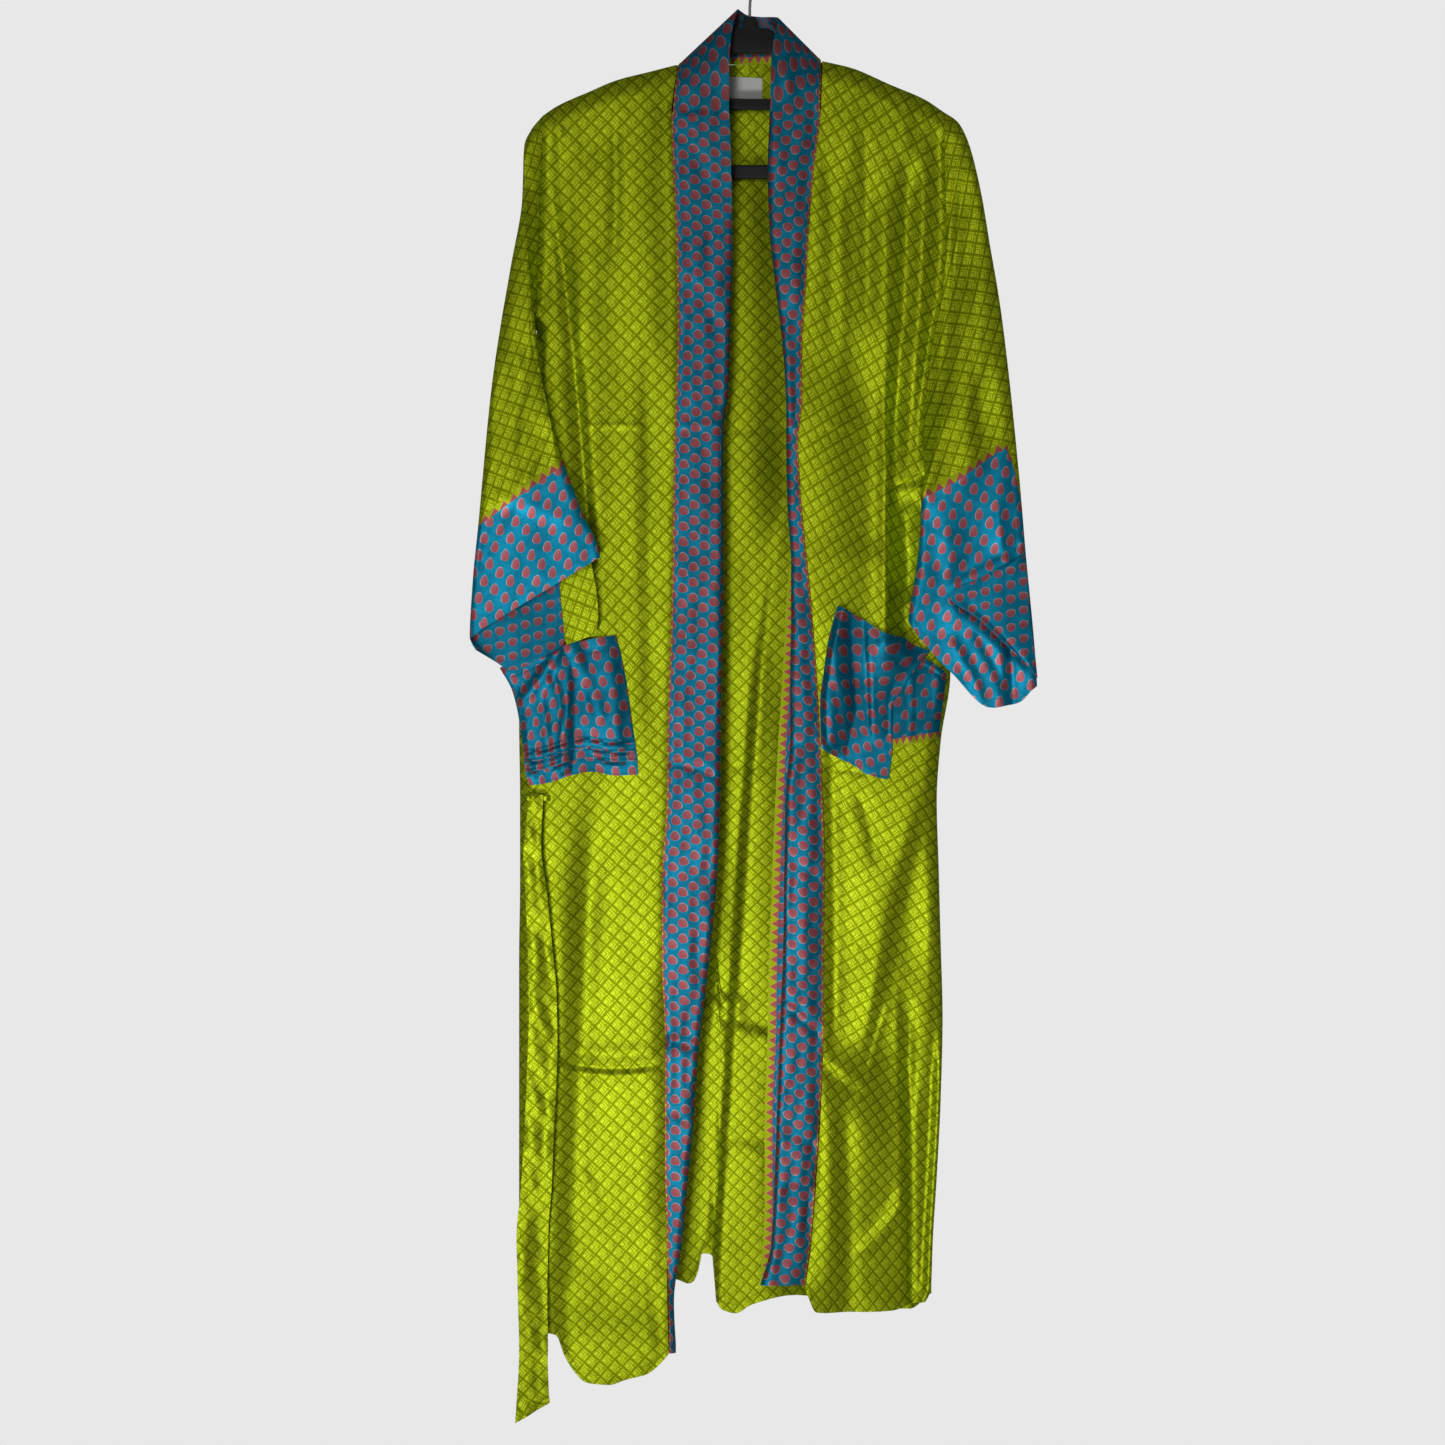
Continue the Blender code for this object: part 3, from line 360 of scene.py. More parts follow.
# Pockets.
POCKET_L = Table("down left right", (
    (0, -255, -137),
    (0.2, -242, -130),
    (0.45, -235, -124),
    (0.7, -231, -119),
    (0.88, -229, -115),
    (1, -225, -114),
))
POCKET_L_ENDS = Table("across top bottom", (
    (0, -732, -852),
    (0.15, -725, -850),
    (0.35, -716, -843),
    (0.57, -709, -838),
    (0.8, -703, -842),
    (1, -699, -841),
))
POCKET_R = Table("down left right", (
    (0, 89, 184),
    (0.25, 80, 159),
    (0.45, 76, 145),
    (0.7, 72, 145),
    (1, 72, 141),
))
POCKET_R_ENDS = Table("across top bottom", (
    (0, -669, -814),
    (0.25, -682, -823),
    (0.55, -699, -834),
    (0.8, -710, -843),
    (1, -715, -846),
))
POCKET_FOLD_R = Table("down left right", (
    (0, 168, 199),
    (0.3, 146, 197),
    (0.6, 139, 194),
    (1, 139, 191),
))
POCKET_FOLD_R_ENDS = Table("across top bottom", (
    (0, -719, -814),
    (0.5, -726, -810),
    (1, -738, -805),
))
# The front tail of the belt.
BELT = Table("z x width sway", (
    (-1499, -221, 35, 0),
    (-1425, -220, 29, 1),
    (-1354, -221, 30, -2),
    (-1308, -221, 32, -1),
    (-1259, -217, 31, 1),
    (-1198, -214, 30, 2),
    (-1133, -211, 30, 0),
    (-1066, -210, 27, -1),
    (-1020, -213, 25, 1),
    (-963, -217, 22, 2),
    (-917, -221, 18, 1),
    (-863, -217, 14, 0),
))
BELT_TIP_SLANT = 20.0 * MM

# Bends of the hook's stem below its ring, x and z.
HOOK_STEM = ((0, -0.055), (0.0004, -0.0475), (0.0022, -0.0405), (0.0052, -0.0361))  # metres
# The label's place and size in millimetres.
LABEL_LEFT = -41.0
LABEL_RIGHT = 13.0
LABEL_TOP = -120.5
LABEL_HEIGHT = 22.0

# Half outlines of the hanger in millimetres, +X side, from the middle outward and back.
HANGER_OUTSIDE = (
    (6, -64), (7, -75), (20, -76), (31, -86), (60, -109), (75, -123), (110, -130),
    (145, -137), (180, -151.4), (196, -162), (204, -175), (202, -194), (194, -209), (182, -222), (165, -230),
)
HANGER_UPPER_GAP = ((22, -101), (60, -120), (75, -133), (100, -138), (122, -148))
HANGER_LOWER_GAP = (
    (145, -159), (165, -161), (183, -170), (192, -181), (189, -200), (177, -212), (162, -216),
)

# Folds of the two fronts: each runs from one point to another, rises toward the viewer or sinks.
FRONT_FOLDS = Table("share x_top z_top x_low z_low width rise", (
    (1, -194, -184, -184, -388, 8, -3),
    (2, -153, -194, -168, -388, 16, 3),
    (3, -184, -400, -163, -622, 9, -4),
    (4, -163, -870, -190, -1440, 14, -6),
    (5, -139, -870, -150, -1480, 18, 1.5),
    (6, -112, -960, -117, -1480, 13, -0.5),
    (7, 139, -204, 141, -671, 9, 4),
    (8, 157, -545, 158, -705, 12, -9),
    (9, 167, -204, 160, -388, 8, -4),
    (10, 163, -1061, 165, -1400, 5, -4),
    (11, 122, -890, 138, -1400, 18, 3),
    (12, 98, -1153, 101, -1400, 13, -3),
))
BACK_FOLDS = Table("share x_top z_top x_low z_low width rise", (
    (1, -150, -500, -165, -1420, 24, 4),
    (2, 118, -600, 128, -1400, 24, 4),
    (3, -60, -300, -75, -1370, 20, -3),
    (4, 60, -260, 40, -900, 22, 3),
))
SLEEVE_FOLDS = Table("share x_top z_top x_low z_low width rise", (
    (1, -226, -215, -214, -372, 6, -5),
    (2, -247, -330, -224, -560, 12, 3),
    (3, -268, -480, -215, -640, 14, 2),
    (4, 214, -220, 196, -470, 8, -4),
    (5, 236, -300, 214, -560, 12, 3),
    (6, 262, -470, 240, -690, 13, 2),
))


def clip01(value):
    return np.clip(value, 0.0, 1.0)


def ease(value):
    value = clip01(value)
    return value * value * (3 - 2 * value)


def quarter(distance, radius):
    """Rises from 0 at an edge to 1 at one radius in, as a quarter circle does."""
    return np.sqrt(np.clip(1 - (1 - clip01(distance / radius)) ** 2, 0.0, 1.0))


def folds(table, x, z):
    total = np.zeros(np.broadcast(x, z).shape)
    for _, x0, z0, x1, z1, width, rise in table.data:
        along = (z0 - z) / (z0 - z1)
        across = (x - x0 - (x1 - x0) * along) / width
        total = total + rise * np.exp(-across * across) * ease(along / 0.22) * ease((1.12 - along) / 0.22)
    return total


def crest(x):
    """Height of the shoulder line above any x; inside the neck it runs clear of the panels."""
    left = SHOULDER_L.at("z", x)
    right = SHOULDER_R.at("z", x)
    return np.where(x < 0, left, right)


def side_factor(inset, z, underarm):
    closing = clip01(1 - (z - underarm) / ROUND_SIDE)
    return np.sqrt(np.clip(1 - closing ** 2 * (1 - clip01(inset / ROUND_SIDE)) ** 2, 0.0, 1.0))


def hem_flare(x, z):
    return 3.0 * MM * np.sin(x / (17 * MM)) * ease((-1.25 - z) / 0.2)


def inset_l(x, z):
    return x - FRONT_L.at("side", z)


def inset_r(x, z):
    return FRONT_R.at("side", z) - x


def front_y(x, z):
    """The outer face of the two front panels."""
    left = x < 0
    inset = np.where(left, inset_l(x, z), inset_r(x, z))
    underarm = np.where(left, UNDERARM_L, UNDERARM_R)
    rounding = quarter(crest(x) - z, ROUND_TOP) * side_factor(inset, z, underarm)
    lift = (folds(FRONT_FOLDS, x, z) + hem_flare(x, z)) * rounding * ease(inset / (14 * MM))
    return -(SEAM / 2 + (FRONT - SEAM / 2) * rounding) - lift


def back_y(x, z):
    """The outer face of the back panel, with the long roll that stands forward in the opening."""
    top = crest(x) + ROUND_TOP * ease((NECK_HALF + 2 * MM - np.abs(x)) / (16 * MM))
    rounding = quarter(top - z, ROUND_TOP)
    rounding = rounding * side_factor(inset_l(x, z), z, UNDERARM_L)
    rounding = rounding * side_factor(inset_r(x, z), z, UNDERARM_R)
    roll = ROLL.at("height", z)
    past = x - ROLL.at("x", z)
    roll = roll * ease(past / (9 * MM) + 0.5) * (1 - ease((past - 30 * MM) / (95 * MM)))
    lift = (folds(BACK_FOLDS, x, z) - hem_flare(x, z)) * rounding
    return SEAM / 2 + (BACK - SEAM / 2) * rounding + lift - roll


def normals(grid, closed):
    """Unit normals of a grid of points; the columns of a closed grid join up."""
    down = np.gradient(grid, axis=0)
    if closed:
        across = np.roll(grid, -1, axis=1) - np.roll(grid, 1, axis=1)
    else:
        across = np.gradient(grid, axis=1)
    n = np.cross(down, across)
    return n / np.maximum(np.linalg.norm(n, axis=2, keepdims=True), 1e-12)


def turned_normals(grid, toward, closed=False, level=None):
    """Unit normals on the side that faces the given direction, or the middle of a closed grid."""
    n = normals(grid, closed)
    if level is not None:
        n[level, 0] = 0.0
        n = n / np.maximum(np.linalg.norm(n, axis=2, keepdims=True), 1e-12)
    if closed:
        inward = grid.mean(axis=1, keepdims=True) - grid
    else:
        inward = np.broadcast_to(np.array(toward, dtype=float), grid.shape)
    return -n if (n * inward).sum() < 0 else n


def moved(grid, distance, toward, level=None):
    return grid + turned_normals(grid, toward, level=level) * np.asarray(distance)[..., None]


def neck_seam(x):
    """Height of the seam between the back panel and the band round the neck."""
    order = np.argsort(BAND_NECK.data[3:-3, 1])
    return np.interp(x, BAND_NECK.data[3:-3, 1][order], BAND_NECK.data[3:-3, 3][order]) - SEAM


def band_section(visible, width, radius, share):
    """Offsets across the band: flat as far as it shows, then turned under."""
    flat = visible
    start = 0.0
    if visible < radius:
        start = math.asin(1 - max(visible, 0.0) / radius)
        flat = 0.0
    elif visible < width:
        low, high = visible - radius, visible
        for _ in range(40):
            flat = (low + high) / 2
            reach = flat + radius * math.sin(min(math.pi / 2, (width - flat) / radius))
            low, high = (flat, high) if reach < visible else (low, flat)
    run = share * max(width, visible)
    turn = np.clip((run - flat) / radius, 0.0, None) + start
    bent = np.minimum(turn, math.pi)
    straight = np.where(turn > math.pi, (turn - math.pi) * radius, 0.0)
    out = np.where(run <= flat, run, flat + radius * (np.sin(bent) - math.sin(start)) - straight)
    back = np.where(run <= flat, 0.0, radius * (math.cos(start) - np.cos(bent)))
    return out, back + 1.7 * MM * math.sin(start)


def band_row(edges, sign, z, share):
    panel = FRONT_L if sign < 0 else FRONT_R
    seam = float(panel.at("edge", z)) - sign * SEAM / 2
    visible = abs(float(edges.at("fold", z)) - seam)
    out, back = band_section(visible, BAND_WIDTH, BAND_ROLL, share)
    y = front_y(np.array(seam), np.array(z)) - BAND_STAND * ease(share * 3)
    return np.stack((seam - sign * out, y + back, np.full(len(share), z)), axis=1)


def arm_points(arm, sign, t, s, layer):
    """Points of a sleeve and its cuff: t runs down the arm, s from the outer fold to the inner one."""
    out = [arm.at("out_" + c, t) for c in "xyz"]
    inn = [arm.at("in_" + c, t) for c in "xyz"]
    x = out[0] + (inn[0] - out[0]) * s
    z = out[2] + (inn[2] - out[2]) * s
    edges = FRONT_L if sign < 0 else FRONT_R
    straight = arm.at("out_x", 0) + (arm.at("in_x", 0) - arm.at("out_x", 0)) * s
    line = arm.at("out_z", 0) + (arm.at("in_z", 0) - arm.at("out_z", 0)) * s
    x = x + (edges.at("side", line) - straight) * clip01(1 - t / 0.35) ** 2
    x = x + sign * SEAM / 2 * clip01(1 - t / 0.05)
    length = np.hypot(out[0] - inn[0], out[2] - inn[2])
    settle = clip01(t / 0.8)
    top = ROUND_TOP + (7 * MM - ROUND_TOP) * settle
    low = ROUND_SIDE + (7 * MM - ROUND_SIDE) * settle
    rounding = quarter(s * length, top) * quarter((1 - s) * length, low)
    middle = out[1] + (inn[1] - out[1]) * s
    depth = np.where(layer < 0, -arm.at("front", t), arm.at("back", t))
    ripple = folds(SLEEVE_FOLDS, x, z) * clip01(t / 0.2) * ease(s / 0.12) * ease((1 - s) / 0.12)
    return np.stack(np.broadcast_arrays(x, middle + depth * rounding - ripple, z), axis=-1)


def patch(sides, ends, columns, rows):
    """x and z of a flat patch from its left and right edges and its top and bottom edges."""
    across = np.linspace(0, 1, columns)[None, :]
    down = np.linspace(0, 1, rows)[:, None]
    left = sides.at("left", down)
    x = left + (sides.at("right", down) - left) * across
    top = ends.at("top", across)
    z = top + (ends.at("bottom", across) - top) * down
    return across, down, x, z


WALL = 0.7 * MM  # thickness of one silk layer
CELL = 3.0 * MM  # size of a grid cell on the sleeves and the band
FRONT_CELL = 2.35 * MM
BACK_CELL = 3.7 * MM
HEM_TURN = 10.0 * MM
ARMHOLE_DENT = 4.5 * MM  # how far the fronts sink beside the armhole seam
ARMHOLE_DENT_PLACE = 6.0 * MM
PLAIN = 1.0  # distance given to cloth that is nowhere near a toothed border
EDGE_FADE = 12.0 * MM  # creases and softness fade out this near a side edge
BAND_WALL = 1.5 * MM  # thickness of the doubled band
LABEL_WALL = 0.5 * MM
# Width and length over which the grid cells of the panels are counted.
FRONT_SPAN = (150 * MM, 1300 * MM)
BACK_SPAN = (415 * MM, 1290 * MM)
BACK_SIDE_LOW = -1.36  # the back's +X side runs straight down from here
SLEEVE_ROWS = 112
CUFF_ROWS = 60
BAND_COLUMNS = 26
NECK_ROWS = 110
FACING_GRID = (14, 240)  # columns and rows, as the next ones
POCKET_GRID = (56, 60)
TUCKED_GRID = (84, 92)
SLEEVE_FOLD_GRID = (20, 40)
CUFF_FOLD_GRID = (30, 50)
LABEL_GRID = (30, 14)
BELT_COLUMNS = 12
BELT_FRONT_ROWS = 210
BELT_REAR_ROWS = 160
# Softness of each piece: a seed, how wide and how long its waves are, and their height.
FRONT_SOFTNESS = (11, 90 * MM, 300 * MM, 0.5 * MM)
BACK_SOFTNESS = (12, 100 * MM, 320 * MM, 0.7 * MM)
ARM_SOFTNESS = {-1: (12, 70 * MM, 170 * MM, 0.6 * MM), 1: (14, 70 * MM, 170 * MM, 0.6 * MM)}
BAND_SOFTNESS = (17, 40 * MM, 160 * MM, 0.5 * MM)
BELT_SOFTNESS = (31, 26 * MM, 60 * MM, 0.7 * MM)


# Pressed and hanging creases. Each row runs from one point to another, in millimetres. It bows
# sideways, has a width, a rise toward the viewer, and a step by which one side stands higher.
# The first number only keeps the rows in order.
CREASE_COLUMNS = "share x_top z_top x_low z_low bow width rise step"
FRONT_CREASES = Table(CREASE_COLUMNS, (
    (1, -173, -795, -184, -1420, 5, 15, 0.0, -8.0),
    (2, -206, -225, -163, -650, 7, 6, -4.0, 1.0),
    (3, -138, -165, -140, -330, 2, 6, -2.2, 0.8),
    (4, -106, -380, -103, -800, -2, 8, -1.2, -3.2),
    (5, -172, -487, -104, -487, 2, 2.6, 1.3, 0.3),
    (6, -204, -1134, -86, -1137, -7, 2.4, -2.6, -4.6),
    (7, -200, -1118, -92, -1120, -7, 8, 1.8, 0),
    (8, -118, -840, -110, -1340, 5, 26, 1.8, 0.2),
    (9, -146, -1320, -150, -1470, 4, 16, 1.6, 0.8),
    (10, -112, -1340, -96, -1440, -3, 9, -2.6, 0.8),
    (11, -228, -880, -214, -1440, 3, 6, -1.0, -2.4),
    (12, -200, -150, -190, -330, 3, 6, 2.0, 0.6),
    (13, -170, -135, -150, -330, -4, 11, -1.4, 0.5),
    (14, -226, -420, -221, -620, 3, 6, -1.4, -0.8),
    (15, -90, -1020, -88, -1380, 2, 8, -2.4, -0.8),
    (16, -188, -700, -150, -790, 3, 6, 1.8, 0.5),
    (17, -98, -110, -94, -430, 2, 12, 0.0, -5.0),
    (18, -146, -330, -150, -700, 4, 24, -1.6, -7.0),
    (19, -206, -800, -214, -1010, 4, 12, 1.6, 1.2),
    (20, -176, -1240, -150, -1300, 3, 7, -1.2, 0.8),
    (21, 158, -215, 146, -510, 3, 7, -5.4, 0.6),
    (22, 178, -215, 159, -545, 4, 7, 3.6, 0.6),
    (23, 116, -180, 120, -390, 2, 7, -2.4, 0.5),
    (24, 142, -440, 143, -722, 0, 2.8, 0.0, -12.0),
    (25, 90, -150, 96, -420, 2, 12, 1.6, 0.6),
    (26, 150, -128, 156, -215, 4, 8, 2.4, 0.6),
    (27, 112, -122, 160, -168, 5, 4, -2.0, 1.0),
    (28, 80, -790, 85, -1130, 2, 10, -5.0, -1.0),
    (29, 180, -850, 116, -1162, -6, 8, 0.8, -9.0),
    (30, 74, -1128, 118, -1160, -4, 4, 0.8, 6.0),
    (31, 118, -1160, 142, -1070, 2, 3.5, 1.2, -2.4),
    (32, 110, -1100, 108, -1420, 3, 34, 0.0, -33.0),
    (33, 92, -1165, 98, -1400, 3, 10, -3.0, 0.8),
    (34, 154, -1060, 164, -1400, 0, 3, -1.6, -6.0),
    (35, 108, -1330, 158, -1262, -7, 7, 3.4, -2.0),
    (36, 128, -1138, 164, -1134, 2, 3, -1.8, 1.0),
    (37, 74, -487, 114, -490, 2, 2.6, 1.2, 0.4),
    (38, 78, -835, 124, -842, 2, 3, -1.4, 0.6),
    (39, 110, -860, 128, -935, 4, 7, -2.4, 0.4),
    (40, 104, -420, 108, -720, 3, 30, 0.0, -14.0),
    (41, 170, -1000, 172, -1400, 2, 16, 0.0, -12.0),
    (42, 78, -200, 82, -420, 3, 8, -1.6, -1.6),
    (43, 136, -250, 130, -470, -4, 12, 2.0, 0.8),
    (44, 168, -560, 166, -665, 0, 15, -11.0, 0.0),
    (45, 142, -549, 180, -541, 2, 5, 2.5, 7.0),
    (46, 154, -600, 156, -740, 2, 16, -1.0, -14.0),
    (47, -196, -1396, -96, -1400, 3, 22, 0.0, 5.0),
    (48, 92, -236, 156, -236, 0, 44, 0.0, 7.0),
    (49, -120, -1180, -110, -1300, 3, 9, 1.5, -1.0),
    (50, 158, -390, 160, -530, 2, 10, 0.0, 5.0),
    (51, 66, -1168, 176, -1172, 3, 34, 0.0, -15.0),
    (52, -180, -1290, -184, -1450, 0, 12, 0.0, -6.0),
    (53, -150, -1340, -146, -1480, 0, 26, 0.0, 10.0),
))
BACK_CREASES = Table(CREASE_COLUMNS, (
    (1, -56, -1075, -4, -1073, 2, 4, -1.0, 6.0),
    (2, -34, -1098, 44, -1120, 4, 4, -1.0, 6.0),
    (3, -24, -1220, 24, -1234, 3, 4.5, -0.6, 3.5),
    (4, -16, -840, -44, -1160, 2, 9, 1.6, 0.5),
    (5, 8, -190, 10, -600, 3, 17, -1.0, 10.0),
    (6, -2, -600, -14, -1000, 2, 7, 1.0, 0.5),
    (7, 12, -700, 2, -860, 3, 6, -1.4, 0.7),
    (8, -30, -1120, -48, -1340, 3, 5, -2.2, 1.4),
    (9, -140, -300, -120, -900, 9, 12, 2.2, 1.2),
    (10, 120, -260, 104, -760, -8, 11, -2.2, 1.2),
    (11, -180, -487, 150, -490, 2, 3, 1.0, 0.4),
    (12, -200, -836, 180, -842, 5, 4, 1.1, 0.5),
    (13, -210, -1130, -60, -1146, 8, 4, 1.7, 0.8),
    (14, 40, -1128, 186, -1118, -8, 4, 1.6, 0.8),
    (15, 60, -900, 70, -1380, 6, 15, 3.0, 2.0),
    (16, -110, -900, -100, -1380, -5, 14, -2.8, 2.4),
    (17, 150, -700, 160, -1300, 5, 10, 2.4, -1.6),
    (18, -200, -700, -206, -1350, -3, 10, 2.0, 1.6),
    (19, -60, -520, -52, -820, 4, 12, 1.6, -1.2),
    (20, -20, -150, -90, -420, 10, 11, -1.6, 1.0),
    (21, 30, -150, 90, -380, -8, 11, -1.4, 1.0),
    (22, -170, -200, -176, -360, 4, 9, 1.8, 0.8),
    (23, 168, -210, 150, -420, -4, 9, 1.8, 0.8),
    (24, -2, -640, -14, -1060, 2, 18, 0.0, -5.6),
    (25, -26, -900, -40, -1110, 1, 5, 1.8, 1.4),
))
SLEEVE_CREASES = Table(CREASE_COLUMNS, (
    (1, -226, -225, -262, -470, 5, 9, 1.6, 1.0),
    (2, -213, -380, -240, -520, -4, 6, -1.6, 0.8),
    (3, -250, -400, -206, -500, 6, 9, 1.8, -0.8),
    (4, -238, -560, -200, -500, 3, 5, 1.8, 0.8),
    (5, 232, -215, 258, -500, -6, 9, 1.8, 1.0),
    (6, 208, -300, 234, -520, 4, 7, -1.6, 0.8),
    (7, 214, -200, 198, -320, 2, 6, 1.4, 0.6),
    (8, 240, -400, 196, -500, 6, 8, 1.4, -0.6),
    (9, -272, -560, -180, -590, 6, 8, 1.4, 0.8),
    (10, -276, -640, -236, -560, 5, 7, -1.4, 0.6),
    (11, 190, -560, 262, -520, 5, 8, 1.4, 0.6),
    (12, 200, -640, 275, -610, 6, 7, -1.8, 1.0),
    (13, 250, -560, 264, -640, -4, 5, 1.2, 0.8),
    (14, 188, -560, 200, -700, 6, 9, 1.6, 1.0),
    (17, 198, -700, 236, -770, 4, 5, 2.0, -1.6),
    (18, 222, -690, 262, -770, 4, 5, -2.0, -2.0),
    (19, 286, -520, 282, -585, 2, 5, 1.6, -2.0),
))
CUFF_FRONT_CREASES = Table(CREASE_COLUMNS, (
    (1, 194, -656, 290, -742, 0, 3, 0.0, -5.0),
    (2, 192, -650, 290, -600, 0, 3, -1.6, -2.0),
    (3, 260, -700, 265, -782, 1, 6, -4.8, -4.0),
))
BAND_CREASES = Table(CREASE_COLUMNS, (
    (1, -84, -487, -20, -485, 1, 3, 1.0, 0.4),
    (2, -88, -830, -28, -848, 5, 3.5, -2.2, 1.4),
    (3, -90, -1112, -46, -1122, 3, 7, -3.0, 1.4),
    (4, 36, -812, 76, -810, 2, 3, -1.0, 0.6),
    (5, 28, -1072, 76, -1110, 2, 5, -2.4, 1.6),
    (6, 33, -487, 54, -488, 1, 3, 1.0, 0.4),
    (7, -60, -230, -56, -480, 3, 12, 1.2, 0.6),
    (8, -60, -560, -54, -820, 3, 12, -1.0, 0.5),
    (9, 48, -240, 44, -470, 2, 9, 1.0, 0.5),
    (10, 56, -880, 52, -1080, 3, 9, 1.2, 0.5),
    (11, 30, -1195, 76, -1220, -3, 7, -2.0, 1.4),
    (12, 28, -1265, 74, -1276, 3, 6, -1.6, 1.0),
    (13, -88, -1190, -60, -1210, 2, 6, -1.6, 0.8),
    (14, 40, -930, 74, -950, 3, 6, -1.2, 0.8),
    (15, -78, -180, -40, -250, 6, 9, -1.4, 0.8),
    (16, -70, -330, -30, -400, 6, 8, -1.3, 0.8),
    (17, 52, -260, 56, -830, 2, 12, 0.0, 3.6),
))
POCKET_L_CREASES = Table(CREASE_COLUMNS, (
    (1, -183, -728, -182, -876, 0, 2.2, 0, -4.6),
    (2, -166, -690, -168, -862, 0, 11, -2.6, 0),
    (3, -190, -706, -240, -772, 4, 6, 3.4, 1.4),
    (4, -214, -752, -206, -860, 3, 5, -2.0, 1.0),
    (5, -228, -770, -220, -860, -3, 5, 1.6, 0.8),
    (6, -142, -712, -134, -850, 3, 7, 1.6, -1.0),
    (7, -205, -730, -190, -790, 3, 4, -1.8, 0.8),
    (8, -188, -770, -190, -850, -2, 4, 1.8, 0.0),
))
POCKET_R_CREASES = Table(CREASE_COLUMNS, (
    (1, 95, -650, 98, -880, 2, 11, 0, -20.0),
    (2, 190, -708, 150, -772, 6, 5, -4.0, 2.0),
    (3, 153, -746, 145, -850, 3, 6, -4.4, -3.0),
    (4, 115, -670, 122, -850, 4, 5, 2.6, 6.0),
    (5, 128, -706, 168, -730, 3, 5, 2.4, 1.0),
    (6, 84, -740, 92, -840, 3, 6, -2.0, 1.0),
    (7, 112, -808, 140, -822, 2, 4, -1.4, 0.8),
))
POCKET_FOLD_CREASES = Table(CREASE_COLUMNS, (
    (1, 162, -730, 160, -820, 2, 6, 1.4, 0.8),
    (2, 180, -730, 176, -810, 2, 6, -1.2, 0.8),
    (3, 150, -736, 147, -812, 2, 6, -2.4, -2.0),
))
TUCK_HEIGHTS = (14.5 * MM, 24.0 * MM, 34.0 * MM)
TUCK_TAKES = (14.7 * MM, 14.7 * MM, 6.6 * MM)
GATHER_PLACE = -183.0 * MM
GATHER = 0.3  # share by which the cloth beyond that place is pushed together


def creases(table, x, z):
    """Height of the creases at each point: troughs and ridges that fade out at both ends."""
    total = np.zeros(np.broadcast(x, z).shape)
    for _, x0, z0, x1, z1, bow, width, rise, step in table.data:
        length = math.hypot(x1 - x0, z1 - z0)
        along = ((x - x0) * (x1 - x0) + (z - z0) * (z1 - z0)) / length ** 2
        across = ((x - x0) * (z0 - z1) + (z - z0) * (x1 - x0)) / length
        across = (across - bow * 4 * along * (1 - along)) / width
        ends = ease(along / 0.25 + 0.2) * ease((1 - along) / 0.25 + 0.2)
        ridge = rise * np.exp(-across ** 2)
        stepped = step / 2 * np.tanh(across) * np.exp(-(across / 5) ** 2)
        total = total + ends * (ridge + stepped)
    return total


def softness(x, z, seed, across, down, height):
    """Gentle unevenness of hanging silk: waves of mixed length that lean a little."""
    draw = np.random.default_rng(seed)
    total = np.zeros(np.broadcast(x, z).shape)
    count = 26
    for _ in range(count):
        lean = draw.normal(0, 0.35)
        wave_x = draw.normal(0, 1) / across
        wave_z = draw.normal(0, 1) / down + lean * wave_x * 0.3
        total = total + np.cos(2 * math.pi * (wave_x * x + wave_z * z) + draw.uniform(0, 2 * math.pi))
    return total * height * math.sqrt(2 / count)


def hem_turn(above):
    """The double turn of a hem: a little thicker, with a dent where it is stitched."""
    turn = 0.45 * MM * (1 - ease((above - HEM_TURN) / (1.5 * MM)))
    return turn - 0.35 * MM * np.exp(-((above - HEM_TURN + 0.8 * MM) / (1.1 * MM)) ** 2)


def seam_dent(distance):
    return -0.9 * MM * np.exp(-(distance / (2.2 * MM)) ** 2)


def even_shares(length, cell, first=0.0, last=0.0):
    """Shares of a length: close together over a rounding at either end, then even."""
    def rounded(radius):
        if radius <= 0:
            return np.array([0.0])
        turn = np.linspace(0, math.pi / 2, 9)
        return radius * (1 - np.cos(turn))

    start = rounded(first)
    end = length - rounded(last)[::-1]
    count = max(2, int((end[0] - start[-1]) / cell))
    middle = np.linspace(start[-1], end[0], count + 1)
    return np.concatenate((start[:-1], middle, end[1:])) / length


def print_map(lattice, x, z):
    """Repeats of a print counted along its two directions, from the steps of one repeat by height.

    The steps may turn and stretch slowly down the cloth, as a print does that hangs off the grain.
    """
    low, high = lattice.data[0, 0], lattice.data[-1, 0]
    heights = np.linspace(low - 0.6, high + 0.6, 1000)
    one = [lattice.at(c, heights) for c in ("one_x", "one_z")]
    two = [lattice.at(c, heights) for c in ("two_x", "two_z")]
    area = one[0] * two[1] - one[1] * two[0]
    maps = []
    for across, down in ((two[1] / area, -two[0] / area), (-one[1] / area, one[0] / area)):
        summed = np.concatenate(([0.0], np.cumsum((down[1:] + down[:-1]) / 2 * np.diff(heights))))
        maps.append(x * np.interp(z, heights, across) + np.interp(z, heights, summed))
    return np.stack(np.broadcast_arrays(*maps), axis=-1)


